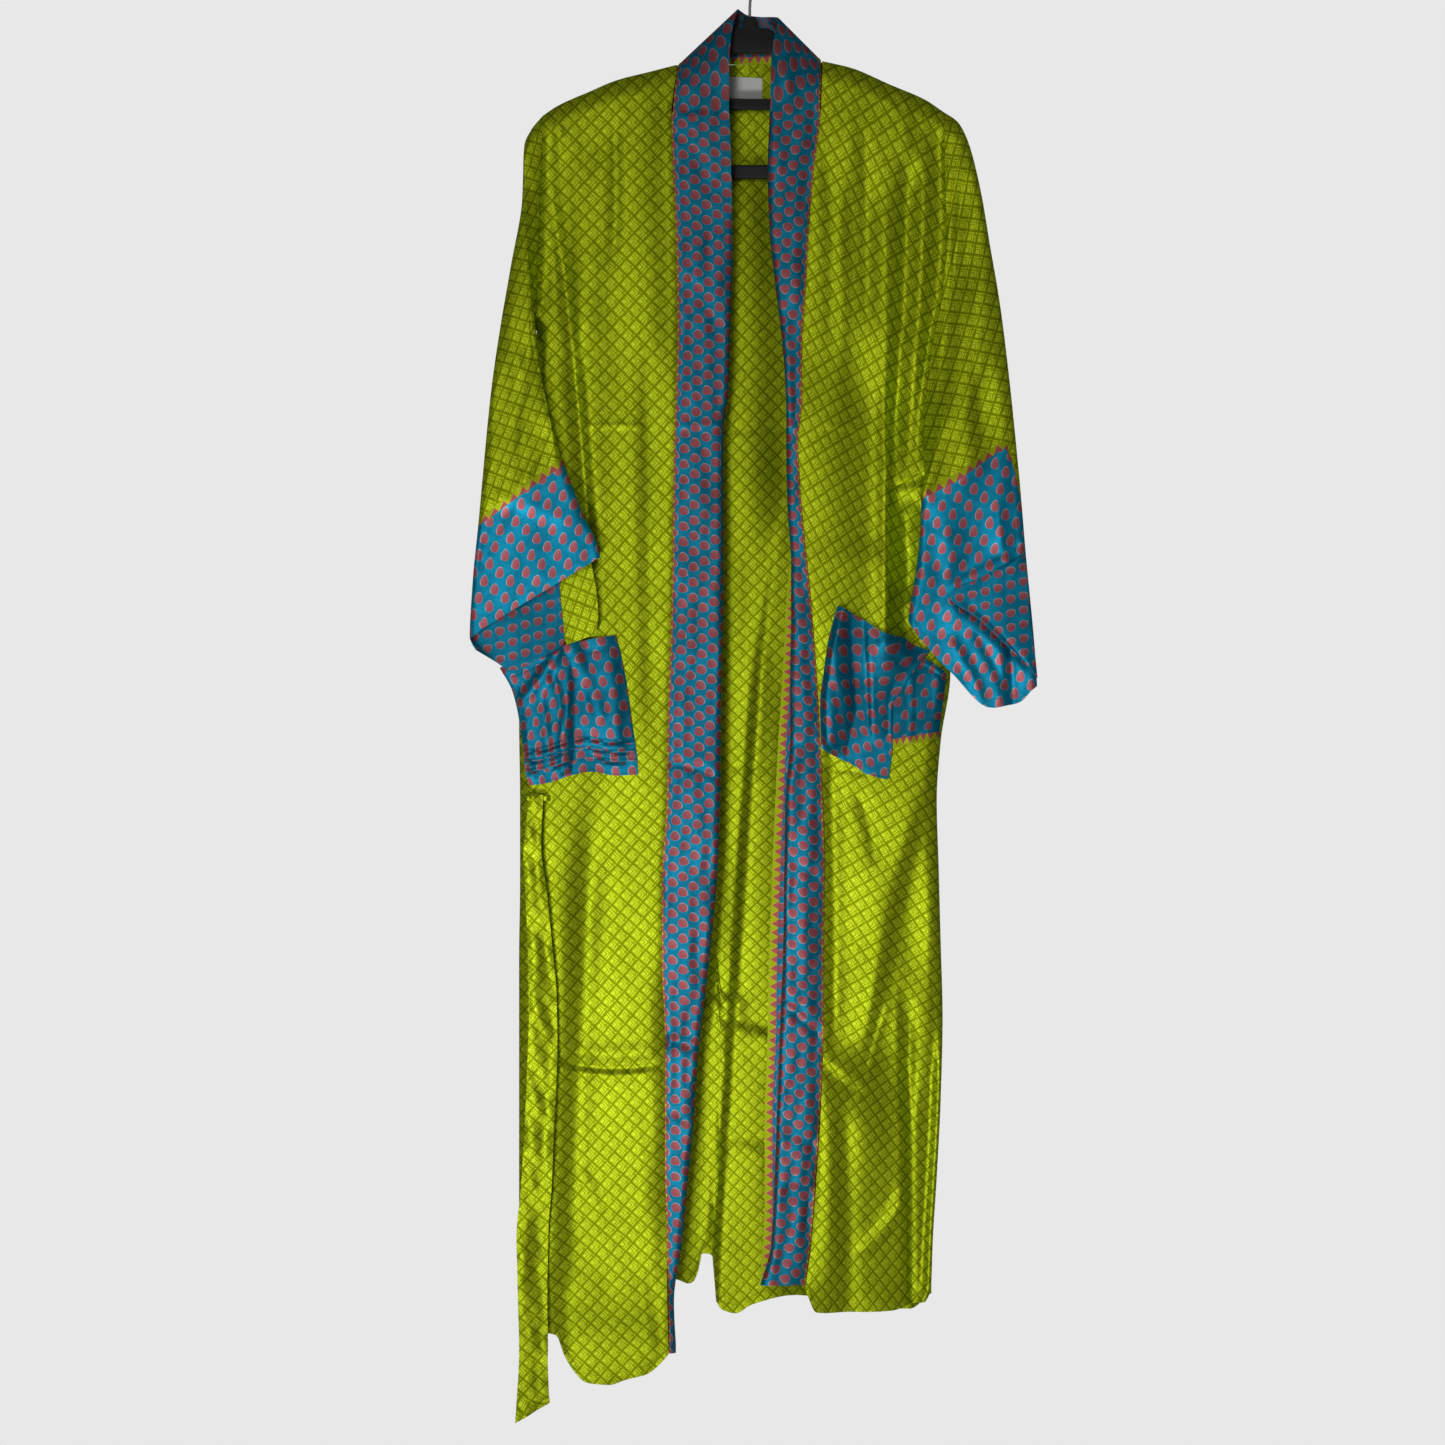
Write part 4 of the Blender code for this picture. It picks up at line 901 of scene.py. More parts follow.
# Steps of one repeat of each print down each piece, in millimetres.
REPEAT_COLUMNS = "z one_x one_z two_x two_z"
REPEAT_FRONT_L = Table(REPEAT_COLUMNS, (
    (-1360, 8.1, -6.9, -7.5, -8.6),
    (-1070, 8.1, -7.3, -7.6, -8.8),
    (-890, 8.4, -7.4, -7.7, -8.7),
    (-560, 8.5, -8.4, -8.1, -8.8),
    (-200, 8.5, -8.6, -8.2, -8.6),
))
REPEAT_FRONT_R = Table(REPEAT_COLUMNS, (
    (-1310, 6.6, -8.6, -6.6, -7.9),
    (-1220, 6.4, -9.4, -7.0, -7.4),
    (-1050, 6.7, -9.8, -8.5, -5.6),
    (-880, 6.4, -10.1, -8.8, -5.3),
    (-660, 5.7, -10.6, -7.6, -5.8),
    (-450, 6.0, -11.6, -8.1, -5.3),
    (-190, 7.0, -12.3, -9.0, -6.3),
))
REPEAT_BACK = Table(REPEAT_COLUMNS, (
    (-1270, 6.8, -6.2, -6.9, -8.1),
    (-1030, 7.2, -6.9, -7.4, -7.2),
    (-850, 7.3, -6.9, -7.5, -7.2),
    (-640, 7.5, -7.5, -7.5, -8.0),
    (-480, 7.6, -7.9, -7.9, -8.7),
))
REPEAT_SLEEVE_L = Table(REPEAT_COLUMNS, (
    (-520, 8.4, -3.4, -4.2, -12.0),
    (-380, 8.4, -3.0, -3.4, -12.0),
    (-220, 7.8, -2.4, -3.0, -12.4),
))
REPEAT_SLEEVE_R = Table(REPEAT_COLUMNS, (
    (-560, 10.0, -2.2, -4.0, -11.2),
    (-400, 10.0, -2.0, -3.8, -11.1),
    (-220, 9.6, -1.6, -3.0, -11.4),
))


def flat_map(x, z):
    """The cloth's own measures, in metres, as its print map."""
    return np.stack(np.broadcast_arrays(x, z), axis=-1)


def linked(name, data):
    """A new object that stands in the scene."""
    made = bpy.data.objects.new(name, data)
    bpy.context.scene.collection.objects.link(made)
    return made


def smoothed(name, mesh, sharp):
    """An object of a finished mesh, smooth but for edges that turn by more than an angle."""
    mesh.polygons.foreach_set("use_smooth", np.ones(len(mesh.polygons), dtype=bool))
    mesh.set_sharp_from_angle(angle=math.radians(sharp))
    return linked(name, mesh)


FACES = {}  # the outer and inner grid of points of every sheet, by its name


def shell(name, outer, inner, print_uv, edge_uv=None, closed=False):
    """A closed thin wall between two grids of points, with its print laid on by two maps."""
    FACES[name] = (outer, inner)
    rows, columns = outer.shape[:2]
    points = np.concatenate((outer.reshape(-1, 3), inner.reshape(-1, 3)))
    last = columns if closed else columns - 1
    row, column = np.meshgrid(np.arange(rows - 1), np.arange(last), indexing="ij")
    row, column = row.ravel(), column.ravel()
    wide = columns + 1 if closed else columns

    def vertex(r, c):
        return r * columns + c % columns

    def mapped(r, c):
        return r * wide + c

    corners = ((row, column), (row, column + 1), (row + 1, column + 1), (row + 1, column))
    face = np.stack([vertex(r, c) for r, c in corners], axis=1)
    place = np.stack([mapped(r, c) for r, c in corners], axis=1)
    shift = rows * columns
    faces = [face, face[:, ::-1] + shift]
    places = [place, place[:, ::-1]]

    def rim(first, second, flip):
        """The strip that joins both grids along one edge."""
        a, b = vertex(*first), vertex(*second)
        strip = np.stack((a, b, b + shift, a + shift), axis=1)
        a, b = mapped(*first), mapped(*second)
        laid = np.stack((a, b, b, a), axis=1)
        faces.append(strip[:, ::-1] if flip else strip)
        places.append(laid[:, ::-1] if flip else laid)

    across = np.arange(last)
    for edge, flip in ((0, True), (rows - 1, False)):
        rim((edge, across), (edge, across + 1), flip)
    if not closed:
        down = np.arange(rows - 1)
        for edge, flip in ((0, False), (columns - 1, True)):
            rim((down, edge), (down + 1, edge), flip)
    faces = np.concatenate(faces)
    places = np.concatenate(places)
    first = points[face]
    out = np.cross(first[:, 2] - first[:, 0], first[:, 3] - first[:, 1])
    away = (outer - inner).reshape(-1, 3)[face[:, 0]]
    if (out * away).sum() < 0:
        faces = faces[:, ::-1]
        places = places[:, ::-1]
    mesh = bpy.data.meshes.new(name)
    mesh.vertices.add(len(points))
    mesh.vertices.foreach_set("co", points.ravel())
    mesh.loops.add(faces.size)
    mesh.loops.foreach_set("vertex_index", np.ascontiguousarray(faces).ravel().astype(np.int32))
    mesh.polygons.add(len(faces))
    mesh.polygons.foreach_set("loop_start", np.arange(0, faces.size, 4, dtype=np.int32))
    mesh.update(calc_edges=True)
    for title, values in (("print", print_uv), ("edge", edge_uv)):
        if values is None:
            values = np.full((rows, wide, 2), PLAIN)
        layer = mesh.uv_layers.new(name=title)
        spread = values.reshape(-1, 2)[places.ravel()]
        layer.data.foreach_set("uv", np.ascontiguousarray(spread, dtype=np.float32).ravel())
    inside = np.zeros(len(faces), dtype=bool)
    inside[len(face):2 * len(face)] = True
    mesh.attributes.new("inside", "BOOLEAN", "FACE").data.foreach_set("value", inside)
    mesh.validate()
    return smoothed(name, mesh, 62)


# Shader maths written as expressions.
class Value:
    """A socket of a node tree. Sums and products of values add the nodes that work them out."""

    def __init__(self, finish, socket):
        self.finish = finish
        self.socket = socket

    def maths(self, operation, *values):
        return self.finish.node("ShaderNodeMath", {"operation": operation}, dict(enumerate(values)))

    def __add__(self, other):
        return self.maths("ADD", self, other)

    def __sub__(self, other):
        return self.maths("SUBTRACT", self, other)

    def __rsub__(self, other):
        return self.maths("SUBTRACT", other, self)

    def __mul__(self, other):
        return self.maths("MULTIPLY", self, other)

    def __truediv__(self, other):
        return self.maths("DIVIDE", self, other)

    def __abs__(self):
        return self.maths("ABSOLUTE", self)

    def fraction(self):
        return self.maths("FRACT", self)

    def sine(self):
        return self.maths("SINE", self)

    def root(self):
        return self.maths("SQRT", self)

    def most(self, other):
        return self.maths("MAXIMUM", self, other)

    def above(self, low, high):
        """0 below low, 1 above high, and smooth between them."""
        return self.finish.node("ShaderNodeMapRange", {"interpolation_type": "SMOOTHSTEP"},
                                {"Value": self, "From Min": low, "From Max": high})

    def below(self, low, high):
        return 1.0 - self.above(low, high)

    __radd__ = __add__
    __rmul__ = __mul__


class Finish:
    """One material: its shader and the nodes that feed it."""

    def __init__(self, name, **constants):
        self.material = bpy.data.materials.new(name)
        self.material.use_nodes = True
        self.tree = self.material.node_tree
        self.shader = self.tree.nodes["Principled BSDF"]
        for socket, value in constants.items():
            self.shader.inputs[socket.replace("_", " ")].default_value = value

    def node(self, kind, settings=None, values=None, output=0):
        made = self.tree.nodes.new(kind)
        for setting, value in (settings or {}).items():
            setattr(made, setting, value)
        for key, value in (values or {}).items():
            if isinstance(value, Value):
                self.tree.links.new(value.socket, made.inputs[key])
            else:
                made.inputs[key].default_value = value
        return Value(self, made.outputs[output])

    def uv(self, name):
        return self.node("ShaderNodeUVMap", {"uv_map": name})

    def axes(self, vector):
        split = self.node("ShaderNodeSeparateXYZ", values={0: vector})
        return split, Value(self, split.socket.node.outputs[1])

    def place(self):
        return self.node("ShaderNodeTexCoord", output=3)

    def noise(self, vector, scale, detail=2.0, roughness=0.5, output=0):
        values = {"Vector": vector, "Scale": scale, "Detail": detail, "Roughness": roughness}
        return self.node("ShaderNodeTexNoise", {"noise_dimensions": "3D"}, values, output)

    def mix(self, factor, one, two):
        """Two colours mixed: the first where the factor is 0, the second where it is 1."""
        values = {0: factor, 6: one, 7: two}
        return self.node("ShaderNodeMix", {"data_type": "RGBA"}, values, output=2)

    def stretched(self, vector, scale):
        return self.node("ShaderNodeVectorMath", {"operation": "MULTIPLY"}, {0: vector, 1: scale})

    def moved(self, vector, by):
        return self.node("ShaderNodeVectorMath", {"operation": "ADD"}, {0: vector, 1: by})

    def bump(self, height, strength, distance):
        values = {"Height": height, "Strength": strength, "Distance": distance}
        return self.node("ShaderNodeBump", values=values)

    def feed(self, socket, value):
        self.tree.links.new(value.socket, self.shader.inputs[socket])


def rgb(red, green, blue):
    return (red, green, blue, 1.0)


# Colours, linear.
LIME_LIGHT = rgb(0.68, 0.80, 0.028)
LIME_MIDDLE = rgb(0.39, 0.485, 0.004)
LIME_SHADE = rgb(0.30, 0.375, 0.001)
LIME_DARK = rgb(0.21, 0.265, 0.001)
LINE_HALF_WIDTH = 0.034  # shares of the trellis spacing, as the next four
SQUARE_PLACE = 0.28
BAR_PLACES = (0.58, 0.79)
BAR_MIDDLE = 0.36
DOT_PLACE = 0.84
TEAL = rgb(0.003, 0.19, 0.32)
TEAL_LIGHT = rgb(0.005, 0.28, 0.47)
TEAL_DARK = rgb(0.008, 0.085, 0.12)
ROSE = rgb(0.43, 0.10, 0.115)
ROSE_DARK = rgb(0.22, 0.04, 0.055)
BEIGE = rgb(0.55, 0.40, 0.38)
TOOTH_RED = rgb(0.46, 0.10, 0.085)
YELLOW_EDGE = rgb(0.62, 0.52, 0.03)
PLASTIC_BLACK = rgb(0.008, 0.008, 0.009)
PLASTIC_WORN = rgb(0.02, 0.02, 0.021)
WIRE_DULL = rgb(0.62, 0.62, 0.61)
WIRE_BRIGHT = rgb(0.80, 0.80, 0.80)
THREAD_SHADE = rgb(0.7, 0.7, 0.68)
THREAD_LIGHT = rgb(0.9, 0.9, 0.88)
TAPE_SHADE = rgb(0.88, 0.88, 0.85)
TAPE_LIGHT = rgb(0.97, 0.97, 0.95)
HATCH_PITCH = 1.4  # millimetres
TOOTH_HEIGHT = 8.0 * MM


def silk(finish, colour, roughness_noise, weave):
    """What every printed silk shares: a fine plain weave, slubs and a soft uneven sheen."""
    across, down = finish.axes(weave)
    threads = (across * 2 * math.pi).sine() * 0.5 + (down * 2 * math.pi).sine() * 0.5
    place = finish.place()
    slub = finish.noise(finish.stretched(place, (60.0, 60.0, 900.0)), 1.0, 2.0)
    crumple = finish.noise(place, 38.0, 2.0, 0.4)
    height = threads * 0.2 + slub * 0.3 + crumple * 1.2
    finish.feed("Normal", finish.bump(height, 0.22, 0.0006))
    finish.feed("Base Color", colour)
    finish.feed("Roughness", roughness_noise)


def green_silk(name):
    """Lime silk with a fine trellis: in each cell a light square, two pairs of bars and a dot."""
    finish = Finish(name, Specular_IOR_Level=0.3, Specular_Tint=rgb(0.8, 1.0, 0.22), Metallic=0.72)
    repeats = finish.uv("print")
    place = finish.place()
    wander = finish.noise(place, 170.0, 1.0, output=1)
    wander = finish.moved(wander, (-0.5, -0.5, -0.5))
    printed = finish.moved(repeats, finish.stretched(wander, (0.17, 0.17, 0.0)))
    u, v = finish.axes(printed)
    u = u.fraction()
    v = 1.0 - v.fraction()
    line = (0.5 - abs(u - 0.5).most(abs(v - 0.5))).below(LINE_HALF_WIDTH * 0.6, LINE_HALF_WIDTH * 1.5)
    square = abs(u - SQUARE_PLACE).most(abs(v - SQUARE_PLACE)).below(0.13, 0.19)
    marks = square
    for one, other in ((u, v), (v, u)):
        length = abs(other - BAR_MIDDLE).below(0.22, 0.30)
        for bar in BAR_PLACES:
            marks = marks.most(abs(one - bar).below(0.035, 0.075) * length)
    dot = abs(u - DOT_PLACE).most(abs(v - DOT_PLACE)).below(0.03, 0.08)
    marks = marks.most(dot)
    uneven = finish.noise(place, 95.0, 2.0)
    ground = finish.mix(uneven.above(0.35, 0.65), LIME_SHADE, LIME_MIDDLE)
    colour = finish.mix(marks, ground, LIME_LIGHT)
    colour = finish.mix(line, colour, LIME_DARK)
    faded = finish.noise(place, 28.0, 3.0)
    rough = faded * 0.14 + 0.40
    weave = finish.stretched(repeats, (24.0, 24.0, 0.0))
    silk(finish, colour, rough, weave)
    return finish.material


def blue_silk(name, one, two, turn, drop, painted_shading=1.0, pitch=9.2):
    """Teal silk with rose drops, and a toothed border where one is mapped.

    The drops stand at the corners and the middle of a cell whose two sides are given in
    millimetres. They are turned clockwise by an angle in degrees, and drop gives their half
    width and half height. The whole colour is scaled by painted_shading: below 1 it is painted
    shade, above 1 painted light. Pitch is the width of a tooth in millimetres.
    """
    finish = Finish(name, Specular_IOR_Level=0.3, Specular_Tint=rgb(0.5, 0.9, 1.0), Metallic=0.65)
    place = finish.place()
    wander = finish.moved(finish.noise(place, 210.0, 1.0, output=1), (-0.5, -0.5, -0.5))
    cloth = finish.moved(finish.uv("print"), finish.stretched(wander, (0.0016, 0.0016, 0.0)))
    x, y = finish.axes(cloth)
    area = (one[0] * two[1] - one[1] * two[0]) * MM
    u = x * (two[1] / area) - y * (two[0] / area)
    v = y * (one[0] / area) - x * (one[1] / area)
    cosine, sine = math.cos(math.radians(turn)), math.sin(math.radians(turn))
    drops = []
    for shift in (0.0, 0.5):
        du = (u + shift).fraction() - 0.5
        dv = (v + shift).fraction() - 0.5
        right = du * one[0] + dv * two[0]
        up = du * one[1] + dv * two[1]
        across = right * cosine - up * sine
        along = right * sine + up * cosine
        wide = across / (drop[0] - along * 0.16)
        tall = along / drop[1]
        size = (wide * wide + tall * tall).root()
        hatch = ((along + abs(across) * 0.8) / HATCH_PITCH).fraction()
        lines = abs(hatch - 0.5).above(0.16, 0.30)
        lit_side = (along * 0.5 - across).above(-1.5, 2.5)
        drops.append((size, lines, lit_side))
    colour = cloth_ground(finish, place)
    for size, lines, lit_side in drops:
        inside = size.below(0.88, 0.98)
        rim = size.below(1.0, 1.12) * (lit_side * 0.7 + 0.1)
        colour = finish.mix(rim, colour, BEIGE)
        colour = finish.mix(inside, colour, ROSE)
        colour = finish.mix(inside * lines * 0.8, colour, ROSE_DARK)
        colour = finish.mix(inside * (1.0 - lines) * lit_side * 0.22, colour, BEIGE)
    # painted light and shade: the whole print is made lighter or darker by one factor
    colour = finish.stretched(colour, (painted_shading, painted_shading, painted_shading))
    run, away = finish.axes(finish.uv("edge"))
    tooth = abs((run / (pitch * MM)).fraction() - 0.5) * 2.0
    tip = (1.0 - tooth) * TOOTH_HEIGHT + 0.0004
    border = away.below(TOOTH_HEIGHT, TOOTH_HEIGHT + 0.0004)
    inside = (away - tip).above(-0.0001, 0.0005)
    yellow = abs(tip - away).below(0.0003, 0.0010)
    edging = finish.mix(inside, LIME_MIDDLE, TOOTH_RED)
    edging = finish.mix(yellow * 0.8, edging, YELLOW_EDGE)
    colour = finish.mix(border, colour, edging)
    faded = finish.noise(place, 30.0, 3.0)
    rough = faded * 0.14 + 0.37
    weave = finish.stretched(finish.uv("print"), (2100.0, 2100.0, 0.0))
    silk(finish, colour, rough, weave)
    return finish.material


def cloth_ground(finish, place):
    """The teal between the drops: short pale picks of weft and uneven dye."""
    dye = finish.noise(place, 70.0, 3.0)
    picks = finish.noise(finish.stretched(finish.uv("print"), (420.0, 1500.0, 0.0)), 1.0, 1.0)
    colour = finish.mix(dye.above(0.35, 0.7), TEAL, TEAL_LIGHT)
    return finish.mix(picks.above(0.42, 0.72) * 0.5, colour, TEAL_DARK)


def moulded_black(name):
    finish = Finish(name, Specular_IOR_Level=0.4)
    grain = finish.noise(finish.place(), 900.0, 3.0)
    scuff = finish.noise(finish.place(), 45.0, 4.0)
    finish.feed("Base Color", finish.mix(scuff.above(0.5, 0.8) * 0.5, PLASTIC_BLACK, PLASTIC_WORN))
    finish.feed("Roughness", scuff * 0.2 + 0.5)
    finish.feed("Normal", finish.bump(grain, 0.15, 0.0004))
    return finish.material


def plated_wire(name):
    finish = Finish(name, Metallic=1.0)
    scuff = finish.noise(finish.place(), 300.0, 3.0)
    finish.feed("Base Color", finish.mix(scuff, WIRE_DULL, WIRE_BRIGHT))
    finish.feed("Roughness", scuff * 0.2 + 0.15)
    return finish.material


def sewing_thread(name, colour, pale):
    finish = Finish(name, Specular_IOR_Level=0.3)
    twist = finish.noise(finish.place(), 1500.0, 2.0)
    finish.feed("Base Color", finish.mix(twist, colour, pale))
    finish.feed("Roughness", twist * 0.2 + 0.5)
    return finish.material


def woven_label(name):
    finish = Finish(name, Specular_IOR_Level=0.25)
    u, v = finish.axes(finish.uv("print"))
    weave = (u * 2 * math.pi).sine() * (v * 2 * math.pi).sine()
    finish.feed("Base Color", finish.mix(weave * 0.5 + 0.5, TAPE_SHADE, TAPE_LIGHT))
    finish.feed("Roughness", weave * 0.05 + 0.7)
    finish.feed("Normal", finish.bump(weave, 0.3, 0.0003))
    return finish.material


GREEN = green_silk("green_trellis_silk")
BAND_BLUE = blue_silk("blue_drop_silk_band", (21.7, -4.0), (0.0, 15.8), 112, (4.6, 5.3))
# painted light: the cuffs' whole print is brightened by half again
CUFF_BLUE = blue_silk("blue_drop_silk_cuffs", (26.6, -0.1), (-5.4, -17.2), 8, (3.9, 5.8),
                      painted_shading=1.55, pitch=12.0)
# The same drops on the wrong side of the cuffs and on the layer that is turned over. The wrong side is
# darkened by painted shade, the turned layer brightened by painted light.
INSIDE_DROPS = ((13.0, -11.0), (12.8, 17.6), 60, (4.1, 4.6))
CUFF_INSIDE = blue_silk("blue_drop_silk_inside", *INSIDE_DROPS, painted_shading=0.8)
CUFF_TURNED = blue_silk("blue_drop_silk_turned", *INSIDE_DROPS, painted_shading=1.25)
POCKET_BLUE = blue_silk("blue_drop_silk_pocket_l", (16.6, 0.0), (0.0, 24.4), 4, (4.2, 5.0))
POCKET_R_BLUE = blue_silk("blue_drop_silk_pocket_r", (18.4, -19.5), (10.6, 8.1), 14, (3.9, 4.6))
# painted shade: the pocket's turned fold is darkened
POCKET_FOLD_BLUE = blue_silk("blue_drop_silk_fold", (16.6, 0.0), (0.0, 24.4), 4, (3.7, 4.6),
                             painted_shading=0.85, pitch=6.8)
COTTON_GREEN = sewing_thread("green_thread", LIME_DARK, LIME_MIDDLE)
COTTON_BLUE = sewing_thread("blue_thread", TEAL_DARK, TEAL_LIGHT)
COTTON_WHITE = sewing_thread("white_thread", THREAD_SHADE, THREAD_LIGHT)
BLACK = moulded_black("moulded_black")
STEEL = plated_wire("plated_wire")
WHITE = woven_label("woven_label")


def dressed(piece, finish, slot, *nodes, lining=None):
    piece.data.materials.clear()
    piece.data.materials.append(finish)
    if lining:
        piece.data.materials.append(lining)
        inside = np.zeros(len(piece.data.polygons), dtype=bool)
        piece.data.attributes["inside"].data.foreach_get("value", inside)
        piece.data.polygons.foreach_set("material_index", inside.astype(np.int32))
    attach(piece, "root")
    if nodes:
        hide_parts(*nodes)
    return piece


def front_face(x, z):
    """The fronts as seen: the solid's face with creases and softness added."""
    left = x < 0
    inset = np.where(left, inset_l(x, z), inset_r(x, z))
    extra = creases(FRONT_CREASES, x, z) + softness(x, z, *FRONT_SOFTNESS)
    keep = quarter(crest(x) - z, ROUND_TOP) * ease(inset / EDGE_FADE)
    return front_y(x, z) - extra * keep


def back_face(x, z):
    extra = creases(BACK_CREASES, x, z) + softness(x, z, *BACK_SOFTNESS)
    inset = np.minimum(inset_l(x, z), inset_r(x, z))
    return back_y(x, z) + extra * ease(inset / EDGE_FADE) * quarter(crest(x) + ROUND_TOP - z, ROUND_TOP)


def make_front(name, edges, hem, sign, lattice):
    across = even_shares(FRONT_SPAN[0], FRONT_CELL, ROUND_SIDE)[None, :]
    shoulder = SHOULDER_L if sign < 0 else SHOULDER_R
    x_top = edges.at("side", 0) + (edges.at("edge", 0) - edges.at("side", 0)) * across
    top = shoulder.at("z", x_top)
    down = even_shares(FRONT_SPAN[1], FRONT_CELL, ROUND_TOP)[:, None]
    z = top + (hem.at("z", across) - top) * down
    side = edges.at("side", z) - sign * SEAM / 4
    edge = edges.at("edge", z) + sign * SEAM / 4
    x = side + (edge - side) * across
    above = z - hem.at("z", across)
    underarm = UNDERARM_L if sign < 0 else UNDERARM_R
    sunk = np.abs(x - side) / ARMHOLE_DENT_PLACE
    sunk = ARMHOLE_DENT * sunk * np.exp(1 - sunk)
    sunk = sunk * ease((z - underarm) / (50 * MM)) * ease((top - z) / (60 * MM))
    y = front_face(x, z) - hem_turn(above) - seam_dent(np.abs(x - edge)) + sunk
    y[:, 0] = np.where(z[:, 0] < underarm, -SEAM / 2, y[:, 0])
    outer = np.stack((x, y, z), axis=2)
    armhole = (z > underarm) & (across < 1e-6)
    inner = moved(outer, WALL, (0, 1, 0), level=armhole)
    return shell(name, outer, inner, print_map(lattice, x, z))


def make_back(name, lattice):
    across = even_shares(BACK_SPAN[0], BACK_CELL, ROUND_SIDE, ROUND_SIDE)[None, :]
    x_left = FRONT_L.at("side", 0)
    x_right = FRONT_R.at("side", 0)
    x_top = x_left + (x_right - x_left) * across
    top = np.where(np.abs(x_top) < NECK_HALF - 2 * MM, neck_seam(x_top), crest(x_top))
    low_left = FRONT_L.at("side", -2)
    low_right = FRONT_R.at("side", BACK_SIDE_LOW)
    hem = HEM_BACK.at("z", low_left + (low_right - low_left) * across)
    down = even_shares(BACK_SPAN[1], BACK_CELL, ROUND_TOP)[:, None]
    z = top + (hem - top) * down
    left = FRONT_L.at("side", z) + SEAM / 4
    right = FRONT_R.at("side", np.maximum(z, BACK_SIDE_LOW)) - SEAM / 4
    x = left + (right - left) * across
    y = back_face(x, z) + hem_turn(z - hem)
    y[:, 0] = np.where(z[:, 0] < UNDERARM_L, SEAM / 2, y[:, 0])
    y[:, -1] = np.where(z[:, -1] < UNDERARM_R, SEAM / 2, y[:, -1])
    outer = np.stack((x, y, z), axis=2)
    holes = ((z > UNDERARM_L) & (across < 1e-6)) | ((z > UNDERARM_R) & (across > 1 - 1e-6))
    inner = moved(outer, WALL, (0, -1, 0), level=holes)
    return shell(name, outer, inner, print_map(lattice, x, z))


def make_arm(side, arm, sign, lattice):
    length = abs(float(arm.at("out_z", 0) - arm.at("in_z", 0)))
    out = even_shares(length, CELL, ROUND_TOP, ROUND_SIDE)
    s = np.concatenate((out, out[-2:0:-1]))
    layer = np.concatenate((np.full(len(out), -1), np.full(len(out) - 2, 1)))
    front = layer < 0
    seam = np.where(front, CUFF_ENDS.at("seam_" + side, s), CUFF_ENDS.at("seam_back", s))
    hem = np.where(front, CUFF_ENDS.at("hem_" + side, s), CUFF_ENDS.at("hem_back_" + side, s))
    down = np.linspace(0, 1, SLEEVE_ROWS)[:, None]
    down = 0.35 * down + 0.65 * (1 - np.cos(down * math.pi / 2))
    sleeve = arm_points(arm, sign, seam * down, s[None, :], layer[None, :])
    down = np.linspace(0, 1, CUFF_ROWS)[:, None]
    cuff = arm_points(arm, sign, seam + (hem - seam) * down, s[None, :], layer[None, :])
    joined = np.concatenate((sleeve, cuff[1:]))
    x, z = joined[..., 0], joined[..., 2]
    keep = ease(s / 0.08) * ease((1 - s) / 0.08) * layer
    extra = creases(SLEEVE_CREASES, x, z) + softness(x, z, *ARM_SOFTNESS[sign])
    fade = ease(np.arange(len(joined)) / 14)[:, None]
    extra = extra + creases(CUFF_FRONT_CREASES, x, z) * front
    joined[..., 1] += extra * keep * fade
    armhole = np.zeros(joined.shape[:2], dtype=bool)
    armhole[0] = True
    n = turned_normals(joined, None, closed=True, level=armhole) * WALL
    rows = len(sleeve)
    wrapped = np.concatenate((joined, joined[:, :1]), axis=1)
    mapped = print_map(lattice, wrapped[..., 0], wrapped[..., 2])
    outer, inner = joined[:rows], joined[:rows] + n[:rows]
    sleeve = shell("sleeve_" + side + "_cloth", outer, inner, mapped[:rows], closed=True)
    wrapped = wrapped[rows - 1:]
    mapped = flat_map(wrapped[..., 0], wrapped[..., 2])
    run = np.cumsum(np.linalg.norm(np.diff(wrapped[0], axis=0, prepend=wrapped[0, :1]), axis=1))
    away = np.cumsum(np.linalg.norm(np.diff(wrapped, axis=0, prepend=wrapped[:1]), axis=2), axis=0)
    edge = np.stack(np.broadcast_arrays(run[None, :], away), axis=-1)
    outer, inner = joined[rows - 1:], (joined + n)[rows - 1:]
    cuff = shell("cuff_" + side + "_cloth", outer, inner, mapped, edge, closed=True)
    return sleeve, cuff


